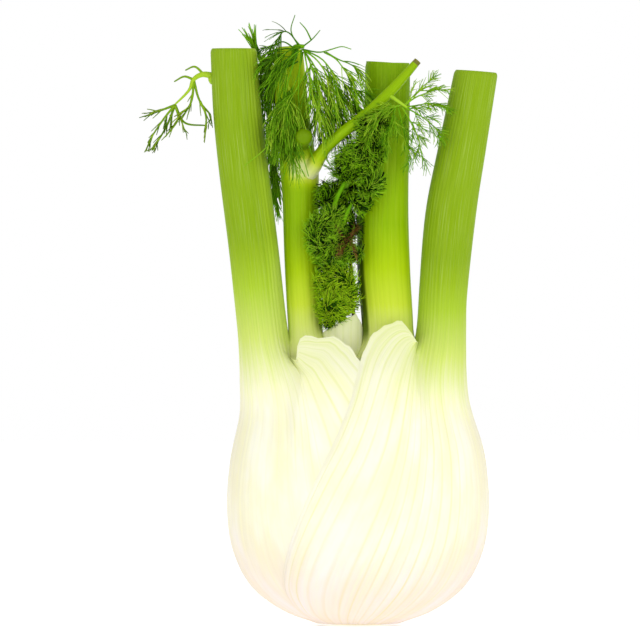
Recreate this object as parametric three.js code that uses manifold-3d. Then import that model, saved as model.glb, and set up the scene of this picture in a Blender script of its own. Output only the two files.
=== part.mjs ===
// A fennel bulb as it is sold: a flattened white bulb of overlapping leaf bases on a trimmed root end,
// four green stalks cut off short above it, and the feathery fronds that are left between and on the stalks.
// Millimetres. +Z runs up the bulb, +X to the right and -Y to the front, with the origin in the middle of
// the flat cut under the root end, which the bulb stands on.
import * as THREE from "three";
import { mergeVertices } from "three/addons/utils/BufferGeometryUtils.js";
import Module from "manifold-3d";

const wasm = await Module();
wasm.setup();

const GAP = 0.35; // clearance between two pieces that lie on each other
const DEG = Math.PI / 180;
const GOLDEN_ANGLE = 137.508 * DEG;
const UP = new THREE.Vector3(0, 0, 1);

// The bulb's outside, as half width, half depth and height from the root cut up to the shoulders.
const BULB_RINGS = [
  [14.9, 12.9, 0.4],
  [30, 24, 6],
  [43, 33, 16],
  [50, 38.5, 30],
  [52.3, 40, 46],
  [51.3, 38.5, 64],
  [48.2, 34, 83],
  [46, 28, 98],
  [45.6, 18.4, 112],
  [45.6, 11.4, 124],
];
const BULB_LEAN = 2; // how far the shoulders sit to the left of the root
const bulbProfile = new THREE.CatmullRomCurve3(
  BULB_RINGS.map(([x, y, z]) => new THREE.Vector3(x, y, z)),
);

// Each outer leaf's base is a sheath that wraps the bulb from its own side. Its ribs rise from all round
// the root, sweep across the front and back, and gather in a pole on the shoulder beside the stalk.
const RIGHT_SHEATH = {
  side: 1,
  rows: 11,
  ribs: 20,
  wrap: 150, // degrees round from its own side that its edges reach at the root
  poleAngle: 57,
  poleRing: 7.7, // rings are counted along BULB_RINGS
  topRing: 8.2,
  archPull: 11.6, // how high the free edge arches in front of the next stalk
  archLean: 2, // and how much further round it reaches there
  thickness: 5.5,
  edge: 0.9,
};
const LEFT_SHEATH = {
  ...RIGHT_SHEATH,
  side: -1,
  ribs: 16,
  poleAngle: 60,
  poleRing: 7.5,
  archPull: 10.7,
  archLean: 20,
};
const RIB_RELIEF = 0.5;
const POLE_SHARE = 0.72; // ribs past this share of the half width all end at the pole

// Stalks, from the cut top down into the bulb: height, middle x and y, half width and half depth.
const RIGHT_STALK = {
  ridges: 9,
  stations: [
    [221.5, 47.2, 0, 9, 7.6],
    [190, 41.4, 0, 9.9, 8],
    [166, 37.2, 0, 10.4, 8.4],
    [132, 33.9, 0, 9.9, 9.6],
    [118, 33.2, 0, 10.2, 12.6],
    [108, 32.2, 0, 11.2, 15.8],
    [96, 31, 0, 12, 18],
    [82, 30, 0, 10, 14],
  ],
  cutTilt: -4,
};
const LEFT_STALK = {
  ridges: 9,
  stations: [
    [230.6, -49.4, 0, 9, 7.8],
    [204, -47.9, 0, 10, 8.2],
    [181, -45.5, 0, 10.2, 8.4],
    [150, -41.6, 0, 10.2, 8.6],
    [128, -39.2, 0, 10.2, 9.8],
    [116, -37.8, 0, 10.4, 12.8],
    [105, -36.4, 0, 11.2, 16],
    [94, -35, 0, 12, 18],
    [82, -33, 0, 10, 14],
  ],
  cutTilt: 0,
};
const RIGHT_INNER_STALK = {
  ridges: 9,
  stations: [
    [225, 11.9, 3, 9, 7.4],
    [198, 11.5, 3, 9.1, 7.6],
    [166, 10.9, 2.5, 9.3, 7.8],
    [142, 11.1, 1.5, 9.8, 8],
    [122, 12, 0, 10, 8.2],
    [104, 12.5, 0, 10, 9],
    [84, 12, 0, 9, 9],
  ],
  cutTilt: -4,
};
const LEFT_INNER_STALK = {
  ridges: 7,
  stations: [
    [231.5, -28, 1, 5.8, 5],
    [210, -26.6, 1, 6.6, 5.6],
    [192, -24.6, 1, 6.9, 6],
    [183, -23.6, 1, 7.8, 6.6],
    [172, -23, 1, 7.3, 6.2],
    [150, -22.6, 1, 7, 6],
    [124, -21.4, 1, 6.9, 6],
    [104, -20, 0, 7, 7],
    [84, -18, 0, 7, 8],
  ],
  cutTilt: 3,
};
// The side branch that forks off the left inner stalk and crosses in front of the right inner one.
const SIDE_BRANCH = {
  path: [
    [-22, 0, 177],
    [-17.5, -4, 184],
    [-13.2, -7.5, 190.5],
    [-6.4, -10.5, 196.6],
    [3.2, -12, 204],
    [11.2, -12.5, 211.4],
    [16.8, -12.2, 217.4],
    [23.8, -11, 225.4],
  ],
  radii: [2.2, 2.6, 2.2, 2.2, 2.4, 2.3, 2, 1.5],
};

// The closed inner leaf bases under the two sheaths, as half width, half depth and height.
const CORE_RINGS = [
  [32, 24, 12.5],
  [41, 31, 19],
  [48, 36.5, 31],
  [50, 38, 46],
  [49, 36.5, 64],
  [45.5, 31, 82],
  [42, 23, 97],
  [38, 14, 107],
  [26, 7, 111.5],
];
const HEART_LEAF = {
  stations: [
    [130, -5.6, 1, 8, 6.2],
    [116, -6, 0.5, 8.6, 7],
    [98, -5.5, 0, 7.5, 6.5],
    [76, -4, 0, 4.5, 4.5],
    [58, -3, 0, 2, 2],
  ],
  topLeft: [-15, 116.5],
  topRight: [1.5, 125.5],
};
const ROOT_END = { width: 27.4, depth: 23.4, height: 12, crown: 0.62 };

const COLOURS = {
  sheath: 0xf3f2cf,
  innerLeaf: 0x93b91c,
  heart: 0xdfe3bd,
  root: 0xdccb9d,
  paleFrond: 0x6fa01c,
  darkFrond: 0x2f6414,
  mossFrond: 0x4b8c1c,
  withered: 0x5d3a22,
};

// Fronds. Each has a stem that stands in a socket in its leaf, branches given as the points they pass
// through, the number of twigs on it and of pairs of threads on each, and lumps as middle and half sizes.
const FRONDS = {
  crown_frond: {
    host: "left_inner_leaf",
    seed: 11,
    colour: COLOURS.paleFrond,
    stem: [[-28, 0.5, 222], [-27, -0.5, 230], [-25.2, -3.5, 234.5], [-20, -8, 234], [-15, -11, 229.5]],
    stemRadii: [1.5, 0.9],
    thread: 7.5,
    twig: 10,
    branches: [
      [[[-20, -8, 234], [-17.8, -8.2, 235.8], [-15.2, -8.5, 238]], 0, 1],
      [[[-25.2, -3.5, 234.5], [-26, -4.4, 238], [-24.8, -5, 243.4]], 0, 3],
      [[[-25.2, -3.5, 234.5], [-29, -4.4, 236.8], [-34, -5, 237]], 0, 3],
      [[[-15, -11, 229.5], [-8.5, -12, 229.6], [-2.6, -12.5, 230.4]], 2, 2],
      [[[-15, -11, 229.5], [-8.6, -13, 226.6], [-0.6, -14.5, 221.4]], 3, 3],
      [[[-15, -11, 229.5], [-8, -14.4, 219], [1.2, -15.5, 211]], 4, 3],
      [[[-15, -11, 229.5], [-9.4, -15.6, 214], [-5.6, -16, 201]], 4, 3],
      [[[-20, -8, 234], [-17.4, -14.6, 215], [-16, -15, 199]], 4, 3],
      [[[-20, -8, 234], [-23.5, -13.6, 213], [-25, -14, 192]], 4, 3],
      [[[-25.2, -3.5, 234.5], [-29.5, -11, 215], [-33, -13, 195]], 5, 3],
      [[[-25.2, -3.5, 234.5], [-32, -8.5, 228], [-38, -11, 212]], 3, 3],
      [[[-25.2, -3.5, 234.5], [-32.4, -4.4, 234.6], [-38.4, -5.4, 230]], 0, 4],
    ],
  },
  rear_frond: {
    host: "left_inner_leaf",
    seed: 23,
    colour: COLOURS.darkFrond,
    stem: [[-26.4, 2, 196], [-29.6, 8, 202], [-33, 11.5, 212], [-36.5, 11.5, 223], [-41, 11, 233]],
    stemRadii: [1.4, 0.8],
    thread: 7,
    twig: 8.5,
    branches: [
      [[[-41, 11, 233], [-43, 10.5, 236], [-45.4, 10, 240]], 0, 3],
      [[[-41, 11, 233], [-41.8, 10.5, 237], [-42, 10, 241]], 0, 2],
      [[[-36.5, 11.5, 223], [-32, 12, 228], [-27, 12, 226]], 2, 2],
      [[[-33, 11.5, 212], [-27, 13, 217], [-20, 13, 214]], 2, 3],
      [[[-29.6, 8, 202], [-31.4, 10.5, 190], [-31.6, 8.5, 172]], 4, 3],
      [[[-33, 11.5, 212], [-35.8, 12, 204], [-35.4, 11, 186]], 3, 3],
      [[[-36.5, 11.5, 223], [-41, 13, 217], [-45, 13.5, 207]], 2, 2],
    ],
  },
  left_sprig: {
    host: "left_outer_leaf",
    seed: 5,
    colour: COLOURS.paleFrond,
    stem: [
      [-52, 1, 217.6], [-58.6, 1.2, 219.8], [-62.4, 1, 220.2],
      [-65.8, 0.4, 218.2], [-67.4, 0, 214.2], [-74, -0.4, 207.4],
    ],
    stemRadii: [2.2, 0.8],
    thread: 5.5,
    twig: 6,
    branches: [
      [[[-61.6, 1, 220.2], [-65.4, 1.6, 223.4], [-69, 2, 222]], 0, 0],
      [[[-65.8, 0.4, 218.2], [-69.4, 0, 219.4], [-73.4, -0.4, 217.4]], 0, 1],
      [[[-73.2, -0.4, 208], [-78.4, -1, 206], [-85.4, -1.4, 203.4]], 0, 3],
      [[[-73.2, -0.4, 208], [-77.6, -2, 202.6], [-84, -3, 193]], 0, 5],
      [[[-73.2, -0.4, 208], [-76.4, 1, 200], [-82.2, 2, 190]], 0, 4],
      [[[-73.2, -0.4, 208], [-72, 0, 202.6], [-77, 0.4, 195.4]], 0, 2],
      [[[-73.2, -0.4, 208], [-69.4, 1.4, 201], [-60.6, 1.6, 199.8]], 0, 1],
      [[[-65.8, 0.4, 218.2], [-66.6, -1, 209.6], [-70.4, -1.4, 202.8]], 0, 3],
      [[[-65.8, 0.4, 218.2], [-63.2, 0, 209.4], [-57.6, -1, 202.6]], 0, 3],
      [[[-63.2, 0, 209.4], [-61, -1.6, 204.6], [-60.6, -2, 198.6]], 0, 1],
    ],
  },
  branch_frond: {
    host: "left_inner_leaf",
    seed: 31,
    colour: COLOURS.paleFrond,
    stem: [[11.4, -12.4, 212.4], [15, -14.6, 209.8], [19.4, -14.6, 206.8]],
    stemRadii: [1.3, 0.9],
    thread: 6,
    twig: 8,
    branches: [
      [[[18.4, -14.6, 207.4], [23.6, -13, 210.4], [28.4, -12, 215]], 0, 4],
      [[[18.4, -14.6, 207.4], [25.6, -13, 208.4], [31, -12, 211]], 0, 4],
      [[[18.4, -14.6, 207.4], [26, -13, 205.4], [33, -11.6, 204.6]], 2, 3],
      [[[18.4, -14.6, 207.4], [26, -12.6, 202.4], [33.4, -11, 196.6]], 2, 3],
      [[[18.4, -14.6, 207.4], [22.8, -13.5, 199], [26, -12, 190]], 3, 3],
      [[[15, -14.6, 209.8], [18.6, -15, 199], [20.6, -14, 190]], 3, 3],
      [[[15, -14.6, 209.8], [13, -16, 202], [10.6, -15, 194]], 3, 3],
      [[[15, -14.6, 209.8], [7.6, -16.6, 204], [2.4, -15.6, 197.4]], 3, 3],
    ],
  },
  upper_heart_frond: {
    host: "heart_leaf",
    seed: 47,
    colour: COLOURS.darkFrond,
    stem: [[-5.5, 2.6, 108], [-6.6, 3.6, 132], [-8, 2, 150], [-8.4, -3, 164], [-4, -9, 177], [2, -11, 189]],
    stemRadii: [1.6, 1.2],
    thread: 4.4,
    twig: 5,
    lumps: [
      [4.6, -11.4, 195, 6.4, 2.8, 5.6],
      [-2.6, -10.8, 184, 6.6, 3.2, 5.8],
      [4, -11, 178.4, 5.6, 3, 7],
      [-6.4, -7.4, 171.6, 4.6, 3.4, 4.6],
    ],
    lumpTwigs: 8,
    branches: [[[[-4, -9, 177], [-8.6, -7.6, 179.6], [-12.6, -7, 186.6]], 0, 4]],
  },
  middle_heart_frond: {
    host: "heart_leaf",
    seed: 53,
    colour: COLOURS.darkFrond,
    stem: [[-10, 2.6, 106], [-11, 3, 130], [-12, 1, 143], [-13.6, -6, 150], [-14, -9.6, 156]],
    stemRadii: [1.4, 1.2],
    thread: 4,
    twig: 4.2,
    lumps: [
      [-14.6, -10, 153.6, 5, 3.2, 5.4],
      [-10.6, -9, 161, 5.6, 3.4, 5],
    ],
    lumpTwigs: 9,
    branches: [],
  },
  lower_heart_frond: {
    host: "heart_leaf",
    seed: 61,
    colour: COLOURS.mossFrond,
    stem: [[-6.4, -2.6, 108], [-6.8, -4, 122], [-7.4, -5.6, 133]],
    stemRadii: [1.5, 1.3],
    thread: 3.4,
    twig: 3.2,
    lumps: [
      [-6.6, -6, 137, 5.6, 3.4, 5.4],
      [-9.4, -7, 128.4, 4.8, 3.2, 5.6],
    ],
    lumpTwigs: 9,
    branches: [],
  },
  withered_sprig: {
    host: "heart_leaf",
    seed: 71,
    colour: COLOURS.withered,
    stem: [[-1.6, -0.4, 108], [-2, -0.6, 130], [-3, -1.4, 146], [-3.6, -4.6, 153.6]],
    stemRadii: [0.9, 0.8],
    thread: 3.4,
    twig: 3.4,
    branches: [
      [[[-3.6, -4.6, 153.6], [-1.6, -6.6, 155.4], [0.4, -7.4, 158.6]], 0, 5],
      [[[-3.6, -4.6, 153.6], [-4.8, -6.4, 156], [-4.6, -7.6, 160]], 0, 5],
      [[[-3.6, -4.6, 153.6], [-5.2, -6.6, 151], [-5, -7.4, 147.6]], 0, 4],
    ],
  },
};
const TWIG_RADIUS = 0.44;
const BRANCH_RADIUS = 0.62;

// A closed triangle mesh, given as three.js geometry, becomes a solid that can be joined and cut.
function solidOf(geometry) {
  const bare = new THREE.BufferGeometry().setAttribute("position", geometry.getAttribute("position"));
  if (geometry.index) bare.setIndex(geometry.index);
  const merged = mergeVertices(bare, 1e-4);
  const vertProperties = new Float32Array(merged.attributes.position.array);
  const triVerts = new Uint32Array(merged.index.array);
  const solid = new wasm.Manifold(new wasm.Mesh({ numProp: 3, vertProperties, triVerts }));
  if (solid.volume() > 0) return solid;
  for (let i = 0; i < triVerts.length; i += 3) {
    [triVerts[i], triVerts[i + 1]] = [triVerts[i + 1], triVerts[i]];
  }
  return new wasm.Manifold(new wasm.Mesh({ numProp: 3, vertProperties, triVerts }));
}

// Rings of equally many points, skinned into a closed body.
function loft(rings) {
  const count = rings[0].length;
  const faces = [];
  for (let i = 0; i + 1 < rings.length; i++) {
    for (let j = 0; j < count; j++) {
      const a = i * count + j;
      const b = i * count + ((j + 1) % count);
      faces.push(a, b, b + count, a, b + count, a + count);
    }
  }
  const last = (rings.length - 1) * count;
  for (let j = 1; j + 1 < count; j++) faces.push(0, j + 1, j, last, last + j, last + j + 1);
  const geometry = new THREE.BufferGeometry().setFromPoints(rings.flat());
  geometry.setIndex(faces);
  return solidOf(geometry);
}

const smooth = (low, high, x) => THREE.MathUtils.smoothstep(x, low, high);
const largestOf = (solid) => solid.decompose().reduce((a, b) => (a.volume() > b.volume() ? a : b));
const joined = (solids) => wasm.Manifold.union(solids);

// A point on the bulb's outside, angle degrees round from +X towards the front, sunk by depth along
// the normal.
function bulbPoint(angle, ring, depth) {
  const at = (a, r) => {
    const p = bulbProfile.getPoint(THREE.MathUtils.clamp(r / (BULB_RINGS.length - 1), 0, 1));
    const lean = BULB_LEAN * smooth(70, 115, p.z);
    return new THREE.Vector3(p.x * Math.cos(a * DEG) - lean, -p.y * Math.sin(a * DEG), p.z);
  };
  const here = at(angle, ring);
  const around = at(angle + 1, ring).sub(at(angle - 1, ring));
  const along = at(angle, ring + 0.05).sub(at(angle, ring - 0.05));
  return here.addScaledVector(along.cross(around).normalize(), -depth);
}

// Where rib t of a sheath runs, from the root (u = 0) to the shoulder (u = 1): angle from the leaf's
// own side, and ring.
function ribAt(sheath, t, u) {
  const side = Math.sign(t);
  const share = Math.abs(t);
  const toPole = smooth(0.55, 0.8, share);
  const overPole = Math.max(0, share - POLE_SHARE) / (1 - POLE_SHARE);
  const topAngle = sheath.poleAngle * Math.sin(Math.min(1, share / POLE_SHARE) * 90 * DEG);
  const topRing = THREE.MathUtils.lerp(sheath.topRing, sheath.poleRing, toPole);
  const arch = THREE.MathUtils.lerp(5.6, sheath.archPull, overPole ** 1.2);
  const controls = [
    [sheath.wrap * share, 0],
    [0.82 * sheath.wrap * share ** 1.12, 3.1],
    [topAngle + 10 * toPole + sheath.archLean * overPole, arch],
    [topAngle, topRing],
  ].map(([angle, ring]) => new THREE.Vector2(angle * side, ring));
  return new THREE.CubicBezierCurve(...controls).getPoint(u);
}

// How deep the left sheath lies under the right one, whose free edge stands on it.
const rightEdge = Array.from({ length: 80 }, (_, i) => ribAt(RIGHT_SHEATH, 1, (0.82 * i) / 79));
function coverDepth(angle, ring) {
  const above = Math.max(1, rightEdge.findIndex((point) => point.y > ring));
  const [low, high] = [rightEdge[above - 1], rightEdge[above]];
  const edge = THREE.MathUtils.mapLinear(Math.min(ring, high.y), low.y, high.y, low.x, high.x);
  const inside = edge - angle;
  const lip = RIGHT_SHEATH.edge + GAP + 0.15;
  const bed = RIGHT_SHEATH.thickness - RIGHT_SHEATH.edge + 0.9;
  return lip * smooth(-12, -1, inside) + bed * smooth(0, 30, inside);
}

// A leaf's base: a curved sheath with a raised rib between every two furrows, thin at its free edges.
// With grow it is made thicker both ways, to cut the room that the piece needs out of its neighbours.
function sheathSolid(sheath, grow = 0) {
  const pointAt = (t, u, inner, crest) => {
    const rib = ribAt(sheath, t * (1 + 0.012 * grow), u * (1 + 0.012 * grow));
    const angle = sheath.side > 0 ? rib.x : 180 - rib.x;
    const cover = sheath.side > 0 ? 0 : coverDepth(Math.abs(((angle + 540) % 360) - 180), rib.y);
    // near the top its middle sinks, because the stalk takes over there
    const sink = 2.2 * smooth(0.82, 1, u) * (1 - smooth(0.6, 0.78, Math.abs(t)));
    if (!inner) {
      const rise = RIB_RELIEF * crest * Math.sin(Math.PI * Math.min(1, 0.06 + u * 1.05)) ** 0.5;
      return bulbPoint(angle, rib.y, cover + sink - (cover > 0.2 ? 0 : rise) - grow);
    }
    const thick = THREE.MathUtils.lerp(sheath.edge, sheath.thickness, smooth(0, 0.55, 1 - Math.abs(t)));
    return bulbPoint(angle, rib.y, cover + Math.max(0.7, thick * smooth(-0.12, 0.4, u)) + grow);
  };
  const grid = (rows, columns, inner) =>
    Array.from({ length: rows + 1 }, (_, i) =>
      Array.from({ length: columns + 1 }, (_, j) => pointAt((2 * j) / columns - 1, i / rows, inner, j % 2)),
    );
  return sheetSolid(grid(sheath.rows, 2 * sheath.ribs, false), grid(7, 16, true));
}

// Two grids of points, a sheet's outside and its coarser inside, closed along their four edges.
function sheetSolid(outside, inside) {
  const points = [...outside.flat(), ...inside.flat()];
  const index = (grid, start) => grid.map((row, i) => row.map((_, j) => start + i * row.length + j));
  const outer = index(outside, 0);
  const inner = index(inside, outside.length * outside[0].length);
  const faces = [];
  for (const [grid, turned] of [[outer, false], [inner, true]]) {
    for (let i = 0; i + 1 < grid.length; i++) {
      for (let j = 0; j + 1 < grid[0].length; j++) {
        const [a, b, c, d] = [grid[i][j], grid[i][j + 1], grid[i + 1][j + 1], grid[i + 1][j]];
        faces.push(...(turned ? [a, c, b, a, d, c] : [a, b, c, a, c, d]));
      }
    }
  }
  const first = (grid) => grid.map((row) => row[0]);
  const last = (grid) => grid.map((row) => row.at(-1));
  bridge(faces, inner[0], outer[0]);
  bridge(faces, outer.at(-1), inner.at(-1));
  bridge(faces, first(outer), first(inner));
  bridge(faces, last(inner), last(outer));
  const geometry = new THREE.BufferGeometry().setFromPoints(points);
  geometry.setIndex(faces);
  return solidOf(geometry);
}

// Triangles between two rows of points that run side by side but differ in number.
function bridge(faces, low, high) {
  let [i, j] = [0, 0];
  while (i < low.length - 1 || j < high.length - 1) {
    const nextLow = (i + 1) / (low.length - 1);
    const nextHigh = (j + 1) / (high.length - 1);
    if (j === high.length - 1 || (i < low.length - 1 && nextLow <= nextHigh)) {
      faces.push(low[i], low[i + 1], high[j]);
      i++;
    } else {
      faces.push(low[i], high[j + 1], high[j]);
      j++;
    }
  }
}

// A ribbed stalk through its stations, cut off across the top at a slight tilt.
function stalkSolid(stalk, grow = 0) {
  const { stations, ridges, cutTilt } = stalk;
  const spine = new THREE.CatmullRomCurve3(stations.map(([z, x, y]) => new THREE.Vector3(x, y, z)));
  const size = new THREE.CatmullRomCurve3(stations.map(([, , , hx, hy]) => new THREE.Vector3(hx, hy, 0)));
  const rings = [];
  const steps = stations.length - 1;
  for (let i = 0; i <= steps; i++) {
    const u = i / steps;
    const middle = spine.getPoint(u);
    const half = size.getPoint(u);
    const ring = [];
    for (let j = 0; j < 2 * ridges; j++) {
      const a = (Math.PI * j) / ridges;
      const relief = (j % 2 ? -0.28 : 0) + grow;
      const x = (half.x + relief) * Math.cos(a);
      const y = (half.y + relief) * Math.sin(a);
      const rise = i === 0 ? x * Math.tan(cutTilt * DEG) + grow : 0;
      ring.push(middle.clone().add(new THREE.Vector3(x, y, rise)));
    }
    rings.push(ring);
  }
  return loft(rings);
}

// A round stem along a path, with its radius given at each point of it.
function stemSolid(path, radii, sides = 5, grow = 0) {
  const points = path.map((p) => new THREE.Vector3(...p));
  const rings = points.map((point, i) => {
    const along = points[Math.min(i + 1, points.length - 1)].clone().sub(points[Math.max(i - 1, 0)]);
    const across = new THREE.Vector3(0.28, 0.93, 0.24).cross(along).normalize();
    const third = along.normalize().clone().cross(across);
    return ringOf(point, across, third, radii[i] + grow, sides);
  });
  return loft(rings);
}

const ringOf = (middle, across, third, radius, sides) =>
  Array.from({ length: sides }, (_, k) => {
    const a = (2 * Math.PI * k) / sides;
    const out = across.clone().multiplyScalar(Math.cos(a)).addScaledVector(third, Math.sin(a));
    return middle.clone().addScaledVector(out, radius);
  });

// Numbers from 0 to 1 that look random and are the same at every run.
function seeded(seed) {
  return () => {
    seed = (seed + 0x6d2b79f5) | 0;
    let t = Math.imul(seed ^ (seed >>> 15), 1 | seed);
    t = (t + Math.imul(t ^ (t >>> 7), 61 | t)) ^ t;
    return ((t ^ (t >>> 14)) >>> 0) / 4294967296;
  };
}

// A point that would lie in a stalk, moved straight out of it.
const STALKS = [RIGHT_STALK, LEFT_STALK, RIGHT_INNER_STALK, LEFT_INNER_STALK];
function bentClear(point, room = 1.2) {
  for (const { stations } of STALKS) {
    const low = stations.findIndex(([z]) => z < point.z);
    if (low < 1) continue;
    const mix = (stations[low - 1][0] - point.z) / (stations[low - 1][0] - stations[low][0]);
    const [, x, y, hx, hy] = stations[low - 1].map((v, k) => THREE.MathUtils.lerp(v, stations[low][k], mix));
    const [dx, dy] = [point.x - x, point.y - y];
    const far = Math.hypot(dx / (hx + room), dy / (hy + room));
    if (far < 1 && far > 0) point.set(x + dx / far, y + dy / far, point.z);
  }
  return point;
}

// A twig with its threads: a three-sided stem that ends in a point, with short cells along it where two of
// the three sides are drawn out into threads, the bare side changing from one pair to the next.
function spraySolid(path, radius, pairs, length, random, grow = 0) {
  const curve = new THREE.CatmullRomCurve3(path);
  const cell = (0.36 + grow) / curve.getLength();
  const middles = Array.from({ length: pairs }, (_, k) => (0.93 * (k + 0.8)) / pairs);
  const stops = [0, ...middles.flatMap((u) => [u - cell, u + cell])];
  const level = path.at(-1).clone().sub(path[0]).cross(new THREE.Vector3(0.1, 0.25, 0.96));
  const frames = stops.map((u) => {
    const along = curve.getTangent(u);
    const across = level.clone().cross(along).normalize();
    return { along, across, third: along.clone().cross(across), middle: curve.getPoint(u) };
  });
  const points = frames.flatMap(({ across, third, middle }, i) =>
    ringOf(middle, across, third, radius * (1 - 0.4 * stops[i]) + grow, 3),
  );
  const faces = [0, 2, 1];
  for (let i = 0; i + 1 < stops.length; i++) {
    const pair = (i - 1) / 2;
    for (let j = 0; j < 3; j++) {
      const [a, b] = [3 * i + j, 3 * i + ((j + 1) % 3)];
      if (i % 2 === 0 || pair % 3 === j) {
        faces.push(a, b, b + 3, a, b + 3, a + 3);
        continue;
      }
      const { along, across, third, middle } = frames[i];
      const turn = (2 * Math.PI * (j + 0.5)) / 3;
      const way = across.clone().multiplyScalar(Math.cos(turn)).addScaledVector(third, Math.sin(turn));
      way.multiplyScalar(0.75).addScaledVector(along, 0.8).z -= 0.16;
      const tip = middle.clone().addScaledVector(way.normalize(), length * (0.75 + 0.5 * random()));
      points.push(bentClear(tip).addScaledVector(way, grow));
      faces.push(a, b, -1, b, b + 3, -1, b + 3, a + 3, -1, a + 3, a, -1);
      for (let k = faces.length - 12; k < faces.length; k++) if (faces[k] < 0) faces[k] = points.length - 1;
    }
  }
  const end = 3 * (stops.length - 1);
  points.push(curve.getPoint(1).addScaledVector(curve.getTangent(1), grow));
  for (let j = 0; j < 3; j++) faces.push(end + j, end + ((j + 1) % 3), points.length - 1);
  const geometry = new THREE.BufferGeometry().setFromPoints(points);
  geometry.setIndex(faces);
  return solidOf(geometry);
}

// A branch with its twigs, which turn round it by the golden angle from one to the next.
function branchSolids([points, twigs, pairs], frond, random, grow) {
  const path = points.map((p) => bentClear(new THREE.Vector3(...p)));
  const parts = [spraySolid(path, BRANCH_RADIUS, twigs ? 1 : pairs, frond.thread, random, grow)];
  const curve = new THREE.CatmullRomCurve3(path);
  for (let k = 0; k < twigs; k++) {
    const u = 0.12 + (0.76 * (k + 0.5)) / twigs;
    const [root, along] = [curve.getPoint(u), curve.getTangent(u)];
    const way = new THREE.Vector3(0.2, 0.1, 0.97).cross(along).normalize();
    way.applyAxisAngle(along, k * GOLDEN_ANGLE).multiplyScalar(0.7).addScaledVector(along, 0.75);
    const length = frond.twig * (0.8 + 0.4 * random());
    const middle = bentClear(root.clone().addScaledVector(way.normalize(), length / 2));
    way.z -= 0.35;
    const end = bentClear(middle.clone().addScaledVector(way.normalize(), length / 2));
    parts.push(spraySolid([root, middle, end], TWIG_RADIUS, pairs, frond.thread, random, grow));
  }
  return parts;
}

// A dense lump: a small closed core, with twigs standing out of it evenly on all sides.
function lumpSolids([x, y, z, rx, ry, rz], frond, random, grow) {
  const core = new THREE.IcosahedronGeometry(1, 0);
  core.scale(rx * 0.62 + grow, ry * 0.7 + grow, rz * 0.62 + grow).translate(x, y, z);
  const parts = [solidOf(core)];
  for (let k = 0; k < frond.lumpTwigs; k++) {
    const height = 1 - (2 * k + 1) / frond.lumpTwigs;
    const way = new THREE.Vector3(Math.sqrt(1 - height * height), 0, height);
    way.applyAxisAngle(UP, k * GOLDEN_ANGLE);
    const root = new THREE.Vector3(x + way.x * rx * 0.4, y + way.y * ry * 0.4, z + way.z * rz * 0.4);
    const out = way.clone().divide(new THREE.Vector3(rx, ry, rz)).normalize();
    out.add(new THREE.Vector3(random() - 0.5, random() - 0.5, random() - 0.5)).normalize();
    const surface = new THREE.Vector3(way.x * rx, way.y * ry, way.z * rz).multiplyScalar(0.5).add(root);
    const end = bentClear(surface.clone().addScaledVector(out, frond.twig));
    parts.push(spraySolid([root, surface, end], TWIG_RADIUS, 2, frond.thread, random, grow));
  }
  return parts;
}

function frondStem(frond, grow = 0) {
  const [thick, thin] = frond.stemRadii;
  const radii = frond.stem.map((_, i) => THREE.MathUtils.lerp(thick, thin, i / (frond.stem.length - 1)));
  return stemSolid(frond.stem, radii, 5, grow);
}

function foliage(frond, grow = 0) {
  const random = seeded(frond.seed);
  return joined([
    ...frond.branches.flatMap((branch) => branchSolids(branch, frond, random, grow)),
    ...(frond.lumps ?? []).flatMap((lump) => lumpSolids(lump, frond, random, grow)),
  ]);
}

// The short stem that all leaves grow from, cut flat below.
function rootSolid(grow = 0) {
  const rings = [0, 0.5, 1].map((rise) => {
    const share = THREE.MathUtils.lerp(1, ROOT_END.crown, rise ** 2);
    return Array.from({ length: 20 }, (_, j) => {
      const a = (2 * Math.PI * j) / 20;
      const rx = (ROOT_END.width / 2) * share + grow;
      const ry = (ROOT_END.depth / 2) * share + grow;
      const z = rise * ROOT_END.height + (rise ? grow : -grow);
      return new THREE.Vector3(rx * Math.cos(a), ry * Math.sin(a), z);
    });
  });
  return loft(rings);
}

// The bulb's inside, before it is shared out between the inner leaves.
function coreSolid() {
  const profile = new THREE.CatmullRomCurve3(CORE_RINGS.map(([x, y, z]) => new THREE.Vector3(x, y, z)));
  const rings = Array.from({ length: 8 }, (_, i) => {
    const p = profile.getPoint(i / 7);
    const lean = BULB_LEAN * smooth(70, 115, p.z);
    return Array.from({ length: 18 }, (_, j) => {
      const a = (2 * Math.PI * j) / 18;
      return new THREE.Vector3(p.x * Math.cos(a) - lean, p.y * Math.sin(a), p.z);
    });
  });
  return loft(rings);
}

// A slab between two lines drawn in the front view, through the whole depth.
function slab(outline, depth = 120) {
  const shape = new THREE.Shape(outline.map(([x, z]) => new THREE.Vector2(x, z)));
  const geometry = new THREE.ExtrudeGeometry(shape, { depth, bevelEnabled: false });
  geometry.rotateX(Math.PI / 2).translate(0, depth / 2, 0);
  return solidOf(geometry);
}

// The young leaf in the middle: a pale closed sheath with a slanting, open top.
function heartSolid(grow = 0) {
  const body = stalkSolid({ ...HEART_LEAF, ridges: 9, cutTilt: 0 }, grow);
  const [[x0, z0], [x1, z1]] = [HEART_LEAF.topLeft, HEART_LEAF.topRight];
  const slope = (z1 - z0) / (x1 - x0);
  const far = 30;
  const lift = grow;
  const above = slab([
    [x0 - far, z0 - far * slope + lift],
    [x1 - 2.5, z1 - 2.5 * slope + lift],
    [x1 + 1.5, z1 - 6 + lift],
    [x1 + far, z1 - 6 + lift],
    [x1 + far, z1 + far],
    [x0 - far, z1 + far],
  ]);
  return body.subtract(above);
}

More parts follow.
